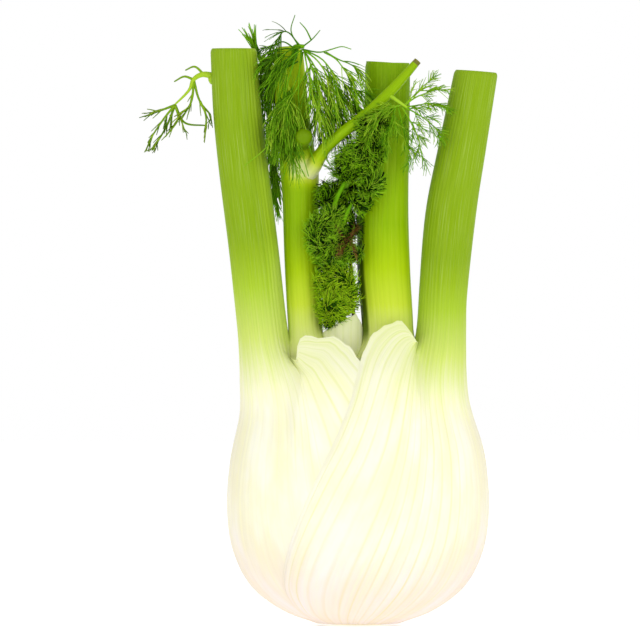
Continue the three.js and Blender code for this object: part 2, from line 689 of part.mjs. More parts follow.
const outerLeaf = (sheath, stalk, grow = 0) => joined([sheathSolid(sheath, grow), stalkSolid(stalk, grow)]);
const rightRoom = outerLeaf(RIGHT_SHEATH, RIGHT_STALK, GAP);
const leftRoom = outerLeaf(LEFT_SHEATH, LEFT_STALK, GAP);
const heartRoom = heartSolid(GAP);
const innerStalks = (grow = 0) => [
  stalkSolid(RIGHT_INNER_STALK, grow),
  joined([stalkSolid(LEFT_INNER_STALK, grow), stemSolid(SIDE_BRANCH.path, SIDE_BRANCH.radii, 8, grow)]),
];

// The two inner leaves share the bulb's inside between them, to either side of the young leaf.
const outerRooms = joined([rightRoom, leftRoom, heartRoom]);
const inside = coreSolid().subtract(outerRooms);
const halfOf = (sign) => {
  const line = [[-3, 0], [-5, 80], [-6.5, 135]].map(([x, z]) => [x + (sign * GAP) / 2, z]);
  return inside.intersect(slab([...line, [sign * 90, 135], [sign * 90, 0]]));
};
const [rightInnerStalk, leftInnerStalk] = innerStalks();

const leaves = {
  right_outer_leaf: outerLeaf(RIGHT_SHEATH, RIGHT_STALK),
  left_outer_leaf: outerLeaf(LEFT_SHEATH, LEFT_STALK).subtract(joined([rightRoom, rootSolid(GAP)])),
  right_inner_leaf: joined([halfOf(1), rightInnerStalk.subtract(outerRooms)]),
  left_inner_leaf: joined([halfOf(-1), leftInnerStalk.subtract(outerRooms)]),
  heart_leaf: heartSolid(),
};
const leafColours = {
  right_outer_leaf: COLOURS.sheath,
  left_outer_leaf: COLOURS.sheath,
  right_inner_leaf: COLOURS.innerLeaf,
  left_inner_leaf: COLOURS.innerLeaf,
  heart_leaf: COLOURS.heart,
};

const pieces = new THREE.Group();

function addPiece(name, solid, colour, roughness) {
  const { numProp, vertProperties, triVerts } = largestOf(solid.simplify(0.1)).getMesh();
  const positions = new Float32Array((vertProperties.length / numProp) * 3);
  for (let i = 0; i * 3 < positions.length; i++) {
    positions.set(vertProperties.subarray(i * numProp, i * numProp + 3), i * 3);
  }
  const geometry = new THREE.BufferGeometry();
  geometry.setAttribute("position", new THREE.BufferAttribute(positions, 3));
  geometry.setIndex(new THREE.BufferAttribute(new Uint32Array(triVerts), 1));
  geometry.computeVertexNormals();
  const material = new THREE.MeshStandardMaterial({ color: colour, roughness, flatShading: true });
  const mesh = new THREE.Mesh(geometry, material);
  mesh.name = name;
  pieces.add(mesh);
}

addPiece("root_end", rootSolid(), COLOURS.root, 0.85);
for (const [name, leaf] of Object.entries(leaves)) {
  const sockets = Object.values(FRONDS)
    .filter((frond) => frond.host === name)
    .map((frond) => frondStem(frond, GAP));
  addPiece(name, leaf.subtract(joined(sockets)), leafColours[name], 0.45);
}

// Each frond keeps clear of the leaves, of the other stems and of the fronds before it.
let taken = joined([rightRoom, leftRoom, heartRoom, ...innerStalks(GAP)]);
for (const [name, frond] of Object.entries(FRONDS)) {
  const otherStems = Object.values(FRONDS).filter((other) => other !== frond);
  const rooms = joined([taken, ...otherStems.map((other) => frondStem(other, GAP))]);
  addPiece(name, joined([foliage(frond).subtract(rooms), frondStem(frond)]), frond.colour, 0.7);
  taken = joined([taken, foliage(frond, GAP)]);
}

export default pieces;
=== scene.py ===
# A fresh fennel bulb with cut stalks and feathery fronds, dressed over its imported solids.
# Lengths in the dictionaries are millimetres; meshes are made in metres.
import math

import bmesh
import bpy
import numpy as np
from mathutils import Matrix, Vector


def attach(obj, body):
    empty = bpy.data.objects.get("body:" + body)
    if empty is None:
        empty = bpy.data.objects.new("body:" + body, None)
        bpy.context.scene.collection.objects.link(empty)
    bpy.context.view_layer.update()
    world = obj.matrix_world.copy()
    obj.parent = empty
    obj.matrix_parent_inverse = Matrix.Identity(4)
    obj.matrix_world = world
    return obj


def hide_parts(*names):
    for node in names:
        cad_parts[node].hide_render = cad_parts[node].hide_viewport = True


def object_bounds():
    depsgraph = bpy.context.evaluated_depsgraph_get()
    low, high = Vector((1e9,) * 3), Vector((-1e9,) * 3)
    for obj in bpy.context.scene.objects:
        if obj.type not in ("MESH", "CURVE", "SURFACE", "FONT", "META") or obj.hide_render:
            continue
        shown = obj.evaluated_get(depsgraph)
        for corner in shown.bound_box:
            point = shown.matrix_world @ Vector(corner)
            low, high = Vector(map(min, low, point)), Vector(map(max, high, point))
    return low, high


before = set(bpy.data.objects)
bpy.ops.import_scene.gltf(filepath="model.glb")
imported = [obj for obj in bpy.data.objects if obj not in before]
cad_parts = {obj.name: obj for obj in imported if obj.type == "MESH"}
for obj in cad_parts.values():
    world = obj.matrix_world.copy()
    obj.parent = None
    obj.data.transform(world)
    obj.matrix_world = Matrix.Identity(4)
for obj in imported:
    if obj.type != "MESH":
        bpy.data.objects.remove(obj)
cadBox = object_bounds()
rng = np.random.default_rng(7)
goldenAngle = math.radians(137.508)
millimetre = 0.001


def smooth(low, high, x):
    k = np.clip((np.asarray(x, float) - low) / (high - low), 0, 1)
    return k * k * (3 - 2 * k)


def unit(v):
    return v / np.maximum(np.linalg.norm(v, axis=-1, keepdims=True), 1e-9)


def catmull(points, at):
    # smooth curve through the points; at counts them from 0
    pts = np.asarray(points, float)
    count = len(pts)
    pts = np.vstack([2 * pts[0] - pts[1], pts, 2 * pts[-1] - pts[-2]])
    at = np.clip(np.asarray(at, float), 0, count - 1)
    i = np.minimum(at.astype(int), count - 2)
    w = (at - i)[..., None]
    p0, p1, p2, p3 = (pts[i + k] for k in range(4))
    pairs = ((p0, p1), (p1, p2), (p2, p3))
    d0, d1, d2 = (np.maximum(((b - a) ** 2).sum(-1, keepdims=True) ** 0.25, 1e-6) for a, b in pairs)
    t1 = ((p1 - p0) / d0 - (p2 - p0) / (d0 + d1) + (p2 - p1) / d1) * d1
    t2 = ((p2 - p1) / d1 - (p3 - p1) / (d1 + d2) + (p3 - p2) / d2) * d1
    return p1 + t1 * w + (-3 * p1 + 3 * p2 - 2 * t1 - t2) * w**2 + (2 * p1 - 2 * p2 + t1 + t2) * w**3


def curve(points, count):
    return catmull(points, np.linspace(0, len(points) - 1, count))


def around(count):
    return np.linspace(0, 2 * math.pi, count, endpoint=False)


def waves(x, parts):
    return sum(size * np.sin(turns * x + start) for size, turns, start in parts)


def quads(low, high, turned=False):
    # faces between rows of point numbers
    made = np.stack([low[..., :-1], low[..., 1:], high[..., 1:], high[..., :-1]], -1).reshape(-1, 4)
    return (made[:, ::-1] if turned else made).tolist()


def fan(ring, tip, turned=False):
    # triangles from a closed ring of point numbers to one point
    made = np.stack([ring, np.roll(ring, -1), np.full(len(ring), tip)], -1)
    return (made[:, ::-1] if turned else made).tolist()


def makeMesh(name, points, faces, materials, attributes=None, faceMaterial=None):
    mesh = bpy.data.meshes.new(name)
    mesh.from_pydata((np.asarray(points) * millimetre).tolist(), [], [list(map(int, f)) for f in faces])
    for key, values in (attributes or {}).items():
        made = mesh.attributes.new(key, "FLOAT", "POINT")
        made.data.foreach_set("value", np.asarray(values, np.float32))
    for material in materials:
        mesh.materials.append(material)
    if faceMaterial is not None:
        mesh.polygons.foreach_set("material_index", np.asarray(faceMaterial, np.int32))
    mesh.polygons.foreach_set("use_smooth", np.ones(len(mesh.polygons), bool))
    mesh.update()
    piece = bpy.data.objects.new(name, mesh)
    bpy.context.scene.collection.objects.link(piece)
    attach(piece, "root")
    return piece


def srgb(code):
    # a hex colour as picked on screen, turned to linear light
    parts = [int(code[i : i + 2], 16) / 255 for i in (1, 3, 5)]
    return [c / 12.92 if c <= 0.04045 else ((c + 0.055) / 1.055) ** 2.4 for c in parts] + [1]


def addNode(tree, kind, inputs=(), stops=(), **settings):
    # a node with its settings, inputs (another node's socket or a plain value) and rising colour stops
    node = tree.nodes.new("ShaderNode" + kind)
    for key, value in settings.items():
        setattr(node, key, value)
    for key, value in dict(inputs).items():
        if isinstance(value, bpy.types.NodeSocket):
            tree.links.new(value, node.inputs[key])
        else:
            node.inputs[key].default_value = value
    for k, (position, code) in enumerate(stops):
        element = node.color_ramp.elements[k] if k < 2 else node.color_ramp.elements.new(position)
        element.position, element.color = position, srgb(code)
    return node


def calculate(tree, operation, *inputs, **settings):
    return addNode(tree, "Math", dict(enumerate(inputs)), operation=operation, **settings).outputs[0]


def mapRange(tree, value, fromMin, fromMax, toMin=0.0, toMax=1.0, easing="LINEAR"):
    inputs = {"Value": value, "From Min": fromMin, "From Max": fromMax, "To Min": toMin, "To Max": toMax}
    return addNode(tree, "MapRange", inputs, interpolation_type=easing).outputs["Result"]


def mixColours(tree, share, first, second, blend="MIX"):
    # a Mix node's colours are its inputs 6 and 7 and its output 2
    inputs = {"Factor": share, 6: first, 7: second}
    return addNode(tree, "Mix", inputs, data_type="RGBA", blend_type=blend).outputs[2]


def colourRamp(tree, value, stops):
    return addNode(tree, "ValToRGB", {"Fac": value}, stops).outputs["Color"]


def readAttribute(tree, name):
    return addNode(tree, "Attribute", attribute_name=name).outputs["Fac"]


def newMaterial(name, values):
    material = bpy.data.materials.new(name)
    material.use_nodes = True
    shader = material.node_tree.nodes["Principled BSDF"]
    for key, value in values.items():
        shader.inputs[key].default_value = value
    return material, material.node_tree, shader


def varied(tree, colour, noise, amount):
    # lighter and darker by this share of the colour
    value = mapRange(tree, noise, 0.3, 0.7, 1 - amount, 1 + amount)
    return addNode(tree, "HueSaturation", {"Color": colour, "Value": value}).outputs["Color"]


def roughen(tree, shader, height, strength, depth):
    inputs = {"Height": height, "Strength": strength, "Distance": depth * millimetre}
    tree.links.new(addNode(tree, "Bump", inputs).outputs["Normal"], shader.inputs["Normal"])


# noises over a leaf: stretch across the veins, along them, and detail
leafNoises = {"broad": (2.6, 0.16, 4.0), "fine": (9.0, 0.4, 3.0), "patch": (0.3, 0.22, 3.0)}


# Fennel leaf skin is living epidermis over moist pale tissue: smooth, faintly waxy, lit a little from
# inside. It is cream at the base and runs to green up the stalk in fingers, along veins 4 to 6 mm apart.
def leafSkin(name, look):
    material, tree, shader = newMaterial(name, {
        "Roughness": look["roughness"], "IOR": 1.42, "Specular IOR Level": look["specular"],
        "Subsurface Weight": look["subsurface"], "Subsurface Radius": (1.0, 0.9, 0.4), "Subsurface Scale": 0.0025,
    })
    vein, along, green, tintAndShade, ribbed = (
        readAttribute(tree, key) for key in ("vein", "along", "green", "tintAndShade", "ribbed")
    )
    # leaf's own map: one unit across is one vein, one unit along is 10 mm
    place = addNode(tree, "CombineXYZ", {"X": vein, "Y": along}).outputs["Vector"]
    noise = {}
    for key, (across, lengthwise, detail) in leafNoises.items():
        scaled = addNode(tree, "VectorMath", {0: place, 1: (across, lengthwise, 1.0)}, operation="MULTIPLY")
        inputs = {"Vector": scaled.outputs[0], "Scale": 1.0, "Detail": detail, "Roughness": 0.6}
        noise[key] = addNode(tree, "TexNoise", inputs).outputs["Fac"]
    # 1 in the furrow between two ribs, 0 on their crests, and broken up here and there
    wave = calculate(tree, "PINGPONG", vein, 0.5)
    furrow = mapRange(tree, wave, look["furrowWidth"], 0.0, easing="SMOOTHSTEP")
    broken = mapRange(tree, noise["broad"], 0.32, 0.62, 0.15, easing="SMOOTHSTEP")
    lined = calculate(tree, "MULTIPLY", calculate(tree, "MULTIPLY", furrow, ribbed), broken)
    # green, pushed up and down by the streaks
    pushed = calculate(tree, "MULTIPLY_ADD", noise["broad"], look["fingers"], green)
    level = calculate(tree, "SUBTRACT", pushed, look["fingers"] * 0.5, use_clamp=True)
    skin = colourRamp(tree, level, zip(look["levels"], look["crests"]))
    line = colourRamp(tree, level, zip(look["levels"], look["furrows"]))
    # cloudy whiter and yellower patches in the cream, gone where it is green
    cloud = mapRange(tree, noise["patch"], 0.35, 0.7, toMax=0.8, easing="SMOOTHSTEP")
    cloudHere = calculate(tree, "MULTIPLY", cloud, mapRange(tree, level, 0.3, 0.0))
    clouded = mixColours(tree, cloudHere, skin, srgb(look["cloudColour"]))
    # furrow lines: the veins' own green, and painted shade in the furrows
    veinedAndShaded = mixColours(tree, lined, clouded, line)
    # tint: peach near the root, peach painted shade on the outer leaves' flanks, and dark olive painted shade on the
    # inner stalks towards the heart
    tinted = mixColours(tree, tintAndShade, veinedAndShaded, srgb(look["tintAndShadeColour"]), "MULTIPLY")
    stripe = mapRange(tree, noise["fine"], 0.48, 0.72, toMax=look["stripe"], easing="SMOOTHSTEP")
    striped = calculate(tree, "MULTIPLY", stripe, level)
    colour = mixColours(tree, striped, tinted, srgb(look["stripeColour"]))
    tree.links.new(varied(tree, colour, noise["broad"], 0.04), shader.inputs["Base Color"])
    grain = calculate(tree, "MULTIPLY_ADD", noise["fine"], 0.6, noise["broad"])
    roughen(tree, shader, grain, look["bump"], 0.4)
    return material


# A knife-cut stalk end shows wet solid pith: pale in the middle, greener to the skin, with strands in it.
def cutPith(name, middle, rim):
    material, tree, shader = newMaterial(name, {
        "Roughness": 0.4, "IOR": 1.38, "Specular IOR Level": 0.3, "Subsurface Weight": 0.2, "Subsurface Scale": 0.002,
    })
    outwards = readAttribute(tree, "vein")
    strand = addNode(tree, "TexVoronoi", {"Scale": 900.0}).outputs["Distance"]  # strands about 1.1 mm apart
    tone = colourRamp(tree, outwards, [(0.0, middle), (0.7, middle), (0.93, rim), (1.0, rim)])
    dotted = mixColours(tree, mapRange(tree, strand, 0.12, 0.35, 0.5, 0.0), tone, srgb(rim))
    tree.links.new(dotted, shader.inputs["Base Color"])
    roughen(tree, shader, strand, 0.3, 0.3)
    return material


# Frond threads are soft green leaf filaments, so thin that light comes through, and paler at their tips.
def frondGreen(name, look):
    material, tree, shader = newMaterial(name, {
        "Roughness": 0.5, "IOR": 1.42, "Specular IOR Level": 0.08,
        "Subsurface Weight": 0.2, "Subsurface Radius": (0.6, 1.0, 0.2), "Subsurface Scale": 0.0006,
    })
    base = colourRamp(tree, readAttribute(tree, "tone"), zip(look["levels"], look["tones"]))
    toTip = calculate(tree, "MULTIPLY", readAttribute(tree, "tip"), look["tipShare"])
    colour = mixColours(tree, toTip, base, srgb(look["tipColour"]))
    grain = addNode(tree, "TexNoise", {"Scale": 600.0, "Detail": 2.0}).outputs["Fac"]  # about 1.7 mm
    tree.links.new(varied(tree, colour, grain, 0.15), shader.inputs["Base Color"])
    return material


outerLook = {
    "levels": (0.0, 0.12, 0.42, 0.7, 0.86, 1.0),
    "crests": ("#f7f4d0", "#f5f5c4", "#cfe070", "#a8c830", "#94b41a", "#84a60c"),
    "furrows": ("#ebeab0", "#e6ea9c", "#c5da60", "#a0c026", "#8caf14", "#7ea00a"),
    "furrowWidth": 0.17,
    "cloudColour": "#fdfcec",
    "tintAndShadeColour": "#f3e7f8",
    "fingers": 0.36,
    "stripe": 0.72,
    "stripeColour": "#a8c258",
    "roughness": 0.45,
    "specular": 0.1,
    "subsurface": 0.12,
    "bump": 0.3,
}
innerLook = dict(
    outerLook,
    levels=(0.0, 0.2, 0.42, 0.62, 0.86, 1.0),
    crests=("#f2f3bc", "#dee888", "#c6da38", "#accb08", "#8eb600", "#7aa200"),
    furrows=("#ecefb0", "#d6e276", "#bcd22c", "#a2c204", "#84ac00", "#729a00"),
    furrowWidth=0.2,
    cloudColour="#f6f6d0",
    # here the tint is the dark olive of painted shade
    tintAndShadeColour="#6c7c3c",
    fingers=0.16,
    stripe=0.35,
    stripeColour="#bcd43c",
    roughness=0.4,
    bump=0.25,
)
heartLook = dict(
    innerLook,
    levels=(0.0, 0.5, 1.0),
    crests=("#fafad4", "#f4f8c0", "#eaf2a2"),
    furrows=("#f0f4ba", "#e8f0a6", "#dce88a"),
    cloudColour="#f2f3dc",
    fingers=0.1,
    stripe=0.2,
    stripeColour="#eef0d6",
    roughness=0.45,
    specular=0.15,
    subsurface=0.25,
)
outerSkin = leafSkin("outer fennel leaf skin", outerLook)
innerSkin = leafSkin("inner fennel leaf skin", innerLook)
heartSkin = leafSkin("young heart leaf skin", heartLook)
palePith = cutPith("cut stalk pith", "#e9efc0", "#a5bf4c")
brownedCut = cutPith("browned cut end", "#8f8a3c", "#74742a")
print("materials made")

bulb = {
    # half width, half depth and height from the root cut up to the shoulders
    "rings": [(16.4, 14.0, 0.7), (30.2, 24.2, 6), (43, 33, 16), (50, 38.4, 30), (52.3, 39.8, 46),
              (51.3, 38.4, 64), (48.2, 34, 83), (46, 28, 98), (45.6, 18.4, 112), (45.6, 11.4, 124)],
    "lean": 2.0,
    "leanFrom": 70,
    "leanTo": 115,
}


def leanAt(height):
    return bulb["lean"] * smooth(bulb["leanFrom"], bulb["leanTo"], height)


def bulbPoint(angle, ring, depth):
    # angle in degrees round from the right towards the front, depth along the surface's normal
    def at(a, r):
        p = catmull(bulb["rings"], r)
        a = np.radians(a)
        return np.stack([p[..., 0] * np.cos(a) - leanAt(p[..., 2]), -p[..., 1] * np.sin(a), p[..., 2]], -1)

    upwards = at(angle, ring + 0.05) - at(angle, ring - 0.05)
    normal = unit(np.cross(upwards, at(angle + 1, ring) - at(angle - 1, ring)))
    return at(angle, ring) - normal * np.asarray(depth)[..., None]


rightLeaf = {
    "name": "rightOuterLeaf",
    "node": "right_outer_leaf",
    "side": 1,
    "veins": 44,
    "wrap": 150,
    "poleAngle": 56,
    "poleRing": 8.1,
    "topRing": 8.2,
    # share up the leaf, angle and ring of the free edge, from the root over the arch into the notch
    "margin": [(0, 150, 0), (0.1, 141.5, 1), (0.19, 134.5, 1.93), (0.26, 128.4, 2.57), (0.33, 122, 3.25),
               (0.41, 115.5, 4), (0.5, 106.4, 5), (0.57, 100.2, 5.6), (0.66, 92.5, 6.5), (0.75, 87.5, 7.4),
               (0.81, 83.5, 8.02), (0.86, 78.5, 8.42), (0.9, 73.5, 8.68), (0.935, 68, 8.78), (0.965, 63, 8.66),
               (0.985, 59.5, 8.42), (1, 56, 8.1)],
    "thickness": 5.5,
    "edge": 0.9,
    "relief": 0.34,
    "plain": 0.12,
    "ribbedFrom": (0.2, 0.42),
    "ribbedUp": (-0.2, 0.1),
    "tilt": -4,
    "paintedLightFlank": 0.0,
    "edgePale": 0.62,
    "greenFrom": 80,
    "greenTo": 146,
    # height, middle x and y, half width and half depth
    "stations": [(221.5, 47.2, 0, 9, 7.6), (190, 41.4, 0, 9.9, 8), (166, 37.2, 0, 10.4, 8.4),
                 (132, 33.9, 0, 9.9, 9.6), (118, 33.2, 0, 10.2, 12.6), (108, 32.2, 0, 11.2, 15.8),
                 (96, 31, 0, 12, 18), (82, 30, 0, 10, 14)],
}
leftLeaf = dict(
    rightLeaf,
    name="leftOuterLeaf",
    node="left_outer_leaf",
    side=-1,
    veins=40,
    poleAngle=60,
    poleRing=7.57,
    margin=[(0, 150, 0), (0.14, 145, 1.1), (0.3, 137, 2.5), (0.44, 128, 3.9), (0.56, 118, 5.1), (0.67, 107, 6.3),
            (0.76, 97.5, 7.25), (0.82, 91, 7.74), (0.86, 86.5, 7.99), (0.885, 82, 8.26), (0.92, 73, 8.27),
            (0.955, 65, 8.24), (0.975, 61.6, 8.14), (0.99, 60.4, 7.85), (1, 60, 7.57)],
    ribbedFrom=(0.42, 0.62),
    ribbedUp=(0.5, 0.75),
    tilt=0,
    paintedLightFlank=0.25,
    edgePale=0.48,
    greenFrom=86,
    greenTo=156,
    stations=[(230.6, -49.7, 0, 9.5, 7.9), (204, -48.0, 0, 10, 8.2), (181, -45.5, 0, 10.2, 8.4),
              (150, -41.6, 0, 10.2, 8.6), (128, -39.2, 0, 10.2, 9.8), (116, -37.8, 0, 10.4, 12.8),
              (105, -36.4, 0, 11.2, 16), (94, -35, 0, 12, 18), (82, -33, 0, 10, 14)],
)
sheath = {
    # what both outer leaves share
    "columns": 241,
    "rows": 66,
    "stalkRows": 46,
    "poleShare": 0.72,  # veins past this share of the leaf's half width all end at the notch
    "notchShare": 0.82,  # by this share the sheath no longer takes part in the stalk
    "ribPower": 0.75,  # round crests and narrow furrows
    "unevenRibs": ((0.45, 5.1, 0.7), (0.16, 17, 2)),
    # a vein's two middle controls: rings, and how widely the lower one spreads
    "controlRings": (3.1, 5.6),
    "spread": 0.82,
    "spreadPower": 1.12,
    "edgePower": 1.25,
    "ragged": ((0.045, 61, 0), (0.036, 113, 1)),
    "ribbed": 0.76,
    "stalkRibbed": 0.45,
    "frontTurn": math.radians(146),  # how far round the stalk its outer and its inner skin go
    "backTurn": math.radians(34),
    "inset": 0.3,
    "thinnest": 0.7,
    "wornFrom": 0.985,
    "worn": 0.7,
    "cutDrops": (0, 0.25, 0.35, 0.5, 0.55),
    # painted light on the stalk's right flank: how far across and how far up it reaches
    "paintedLightAcross": (0.25, 0.95),  # tens of mm from the stalk's middle
    "paintedLightUp": (118, 150),
    "peachBelow": (50, 8),
    # peach painted shade on the bulb's left and right flanks: how far out, below which heights, and how strong
    "paintedFlankShade": (38, 52),
    "paintedFlankShadeBelow": (112, 84),
    "paintedFlankShadeShare": 0.3,
    "coveredAtEdge": 0.05,
    "coveredDeep": 6.8,
}
cut = {
    # a dished cut end: how far in each of its rings lies, and the drops of an inner leaf's
    "shares": (0.0, 0.06, 0.35, 0.7),
    "drops": (0, 0.2, 0.3, 0.4, 0.45),
}


def veinAt(leaf, t, u):
    # where vein t runs, from the root (u = 0) to the shoulder (u = 1): angle from the leaf's own side, and ring
    share, pole = np.abs(t), sheath["poleShare"]
    toPole = smooth(0.55, 0.8, share)
    topAngle = leaf["poleAngle"] * np.sin(np.minimum(1, share / pole) * math.pi / 2)
    topRing = leaf["topRing"] + (leaf["poleRing"] - leaf["topRing"]) * toPole
    spread = sheath["spread"] * leaf["wrap"] * share ** sheath["spreadPower"]
    angles = [leaf["wrap"] * share, spread, topAngle + 10 * toPole, topAngle]
    rings = [0 * share, *(0 * share + ring for ring in sheath["controlRings"]), topRing]
    weights = [(1 - u) ** 3, 3 * u * (1 - u) ** 2, 3 * u * u * (1 - u), u**3]
    angle, ring = (sum(w * c for w, c in zip(weights, controls)) for controls in (angles, rings))
    # past the notch's share the veins lean over to the free edge's own curve
    margin = np.asarray(leaf["margin"], float)
    edge = catmull(margin[:, 1:], np.interp(u, margin[:, 0], np.arange(len(margin))))
    toEdge = (np.maximum(0, share - pole) / (1 - pole)) ** sheath["edgePower"]
    ragged = smooth(0.72, 0.8, u) * smooth(1.0, 0.95, u) * waves(u, sheath["ragged"])  # round the arch
    angle = np.sign(t) * (angle + (edge[..., 0] - angle) * toEdge)
    return angle, ring + (edge[..., 1] - ring) * toEdge + ragged * toEdge**9


edgeAngle, edgeRing = veinAt(rightLeaf, np.ones(200), np.linspace(0, 0.82, 200))


def coverDepth(angle, ring):
    # how deep the left leaf lies under the right one, whose free edge stands on it
    inside = np.interp(ring, edgeRing, edgeAngle) - angle
    return sheath["coveredAtEdge"] * smooth(-16, -1, inside) + sheath["coveredDeep"] * smooth(0, 30, inside)


def stalkPoint(stations, angle, height, outward):
    # on a stalk's skin, angle in radians round from the right towards the front
    st = np.asarray(stations, float)
    spine = curve(st[:, [1, 2, 0]], 400)
    size = curve(np.c_[st[:, 3], st[:, 4], 0 * st[:, 3]], 400)
    order = np.argsort(spine[:, 2])
    columns = (spine[:, 0], spine[:, 1], size[:, 0], size[:, 1])
    x, y, hx, hy = (np.interp(height, spine[order, 2], column[order]) for column in columns)
    return np.stack([x + (hx + outward) * np.cos(angle), y - (hy + outward) * np.sin(angle), height + 0 * x], -1)


def capTop(points, faces, ring, drops, turned=False):
    # dished cut end over the last ring, as its own points so that its rim is sharp
    count, centre = len(ring), ring.mean(0)
    rings = [ring + (centre - ring) * share - [0, 0, drop] for share, drop in zip(cut["shares"], drops)]
    numbers = len(points) + np.arange(4 * count).reshape(4, count)
    closed = np.hstack([numbers, numbers[:, :1]])
    faces = faces + quads(closed[:-1], closed[1:], turned) + fan(numbers[-1], numbers[-1, -1] + 1, turned)
    values = np.append(np.repeat(1 - np.array(cut["shares"]), count), 0.0)
    return np.vstack([points] + rings + [centre[None] - [[0, 0, drops[-1]]]]), faces, values


def weld(piece, reach=2e-6):
    bm = bmesh.new()
    bm.from_mesh(piece.data)
    bmesh.ops.remove_doubles(bm, verts=bm.verts, dist=reach)
    bmesh.ops.dissolve_degenerate(bm, edges=bm.edges, dist=1e-7)
    bmesh.ops.recalc_face_normals(bm, faces=bm.faces)
    bm.to_mesh(piece.data)
    bm.free()
    piece.data.set_sharp_from_angle(angle=math.radians(62))  # thin free edges would shade grey if smoothed


def outerLeaf(leaf):
    flip = leaf["side"] < 0
    columns, rows, stalkRows = sheath["columns"], sheath["rows"], sheath["stalkRows"]
    t = np.linspace(-1, 1, columns)[None, :]
    u = np.linspace(0, 1, rows)[:, None]
    half, toEdge = np.abs(t), 1 - np.abs(t)
    phase = t * leaf["veins"] / 2 + waves(t, sheath["unevenRibs"])
    crest = np.abs(np.sin(math.pi * phase)) ** sheath["ribPower"]
    angle, ring = veinAt(leaf, t, u + 0 * t)
    worldAngle = 180 - angle if flip else angle
    cover = coverDepth(np.abs((worldAngle + 540) % 360 - 180), ring) if flip else 0 * angle
    # ribs show where the sheath is drawn across the front and back, and hardly on the flanks
    drawn = smooth(*leaf["ribbedFrom"], half) * smooth(*leaf["ribbedUp"], u)
    ribbed = leaf["plain"] + (sheath["ribbed"] - leaf["plain"]) * drawn
    fade = np.sin(math.pi * np.minimum(1, 0.06 + u * 1.02)) ** 0.5
    flush = 1 - smooth(0.035, 0, toEdge) * smooth(0.85, 0.7, u)
    rise = leaf["relief"] * crest * fade * smooth(0.045, 0.005, cover) * (0.3 + 0.7 * ribbed) * flush
    outer = bulbPoint(worldAngle, ring, cover - rise)
    thick = leaf["edge"] + (leaf["thickness"] - leaf["edge"]) * smooth(0, 0.55, toEdge)
    lip = 0.92 * smooth(0.08, 0, toEdge) * smooth(0.95, 0.7, u)  # the free edge thins away, but not over the arch
    inner = bulbPoint(worldAngle, ring, cover + np.maximum(sheath["thinnest"], thick * smooth(-0.12, 0.4, u)))
    inner = inner + (outer - inner) * (lip * smooth(0.05, 0.2, u))[..., None]
    # the middle of the sheath narrows into the stalk
    pole, inset = sheath["poleShare"], sheath["inset"]
    turn = sheath["frontTurn"] * np.clip(t / pole, -1, 1)
    back = math.pi - sheath["backTurn"] * np.clip(t / pole, -1, 1)
    if flip:
        turn, back = math.pi - turn, math.pi - back
    late = 0.6 + 0.3 * smooth(0.5, pole, half)  # near the notch the skin turns in only at the top
    blend = smooth(0, 1, (u - late) / (1 - late)) * (1 - smooth(pole, sheath["notchShare"], half))
    relief = 0.5 * leaf["relief"] * crest
    onStalk = stalkPoint(leaf["stations"], turn + 0 * u, outer[..., 2], relief - inset)
    onBack = stalkPoint(leaf["stations"], back + 0 * u, inner[..., 2], -inset)
    outer = outer + (onStalk - outer) * blend[..., None]
    inner = inner + (onBack - inner) * blend[..., None]
    # stalk rows above
    first, last = np.flatnonzero(half[0] <= pole + 1e-6)[[0, -1]]
    mid, wide = slice(first, last + 1), last - first + 1
    v = np.append(np.linspace(0, sheath["wornFrom"], stalkRows - 3)[1:], [0.99, 0.994, 0.9975, 1])[:, None]
    top, topX = leaf["stations"][0][:2]

    def stalkGrid(start, turned, lift):
        low, turned = start[-1, mid, 2][None, :], turned[:, mid] + 0 * v
        flat = stalkPoint(leaf["stations"], turned, top + 0 * low * v, lift)
        high = top + (flat[..., 0] - topX) * math.tan(math.radians(leaf["tilt"]))
        worn = sheath["worn"] * np.maximum(0, (v - sheath["wornFrom"]) / (1 - sheath["wornFrom"])) ** 2 + 0 * low
        return stalkPoint(leaf["stations"], turned, low + (high - low) * v, lift - worn)

    grids = [outer, inner, stalkGrid(outer, turn, (relief - inset)[:, mid]), stalkGrid(inner, back, -inset)]
    points = np.vstack([grid.reshape(-1, 3) for grid in grids])
    sizes = [grid.shape[0] * grid.shape[1] for grid in grids]
    numbers = np.split(np.arange(len(points)), np.cumsum(sizes)[:-1])
    oSheath, iSheath, oStalk, iStalk = (n.reshape(grid.shape[:2]) for n, grid in zip(numbers, grids))
    # rows above are sewn to the sheath's last row
    oUp, iUp = np.vstack([oSheath[-1:, mid], oStalk]), np.vstack([iSheath[-1:, mid], iStalk])
    faces = []
    for grid, turned in ((oSheath, flip), (oUp, flip), (iSheath, not flip), (iUp, not flip)):
        faces += quads(grid[:-1], grid[1:], turned)
    for low, high in (
        (iSheath[0], oSheath[0]), (oSheath[:, 0], iSheath[:, 0]), (iSheath[:, -1], oSheath[:, -1]),
        (oSheath[-1, : first + 1], iSheath[-1, : first + 1]), (oSheath[-1, last:], iSheath[-1, last:]),
        (oUp[:, 0], iUp[:, 0]), (iUp[:, -1], oUp[:, -1]),
    ):
        faces += quads(low, high, flip)
    skinFaces = len(faces)
    rim = points[np.concatenate([oStalk[-1], iStalk[-1, ::-1]])]
    points, faces, capVein = capTop(points, faces, rim, sheath["cutDrops"], flip)
    heights = points[:, 2]
    vein = np.concatenate([np.tile(phase[0], rows), np.full(rows * columns, 0.5), np.tile(phase[0, mid], stalkRows),
                           np.tile(phase[0, mid] * 0.7 + 40, stalkRows), capVein])
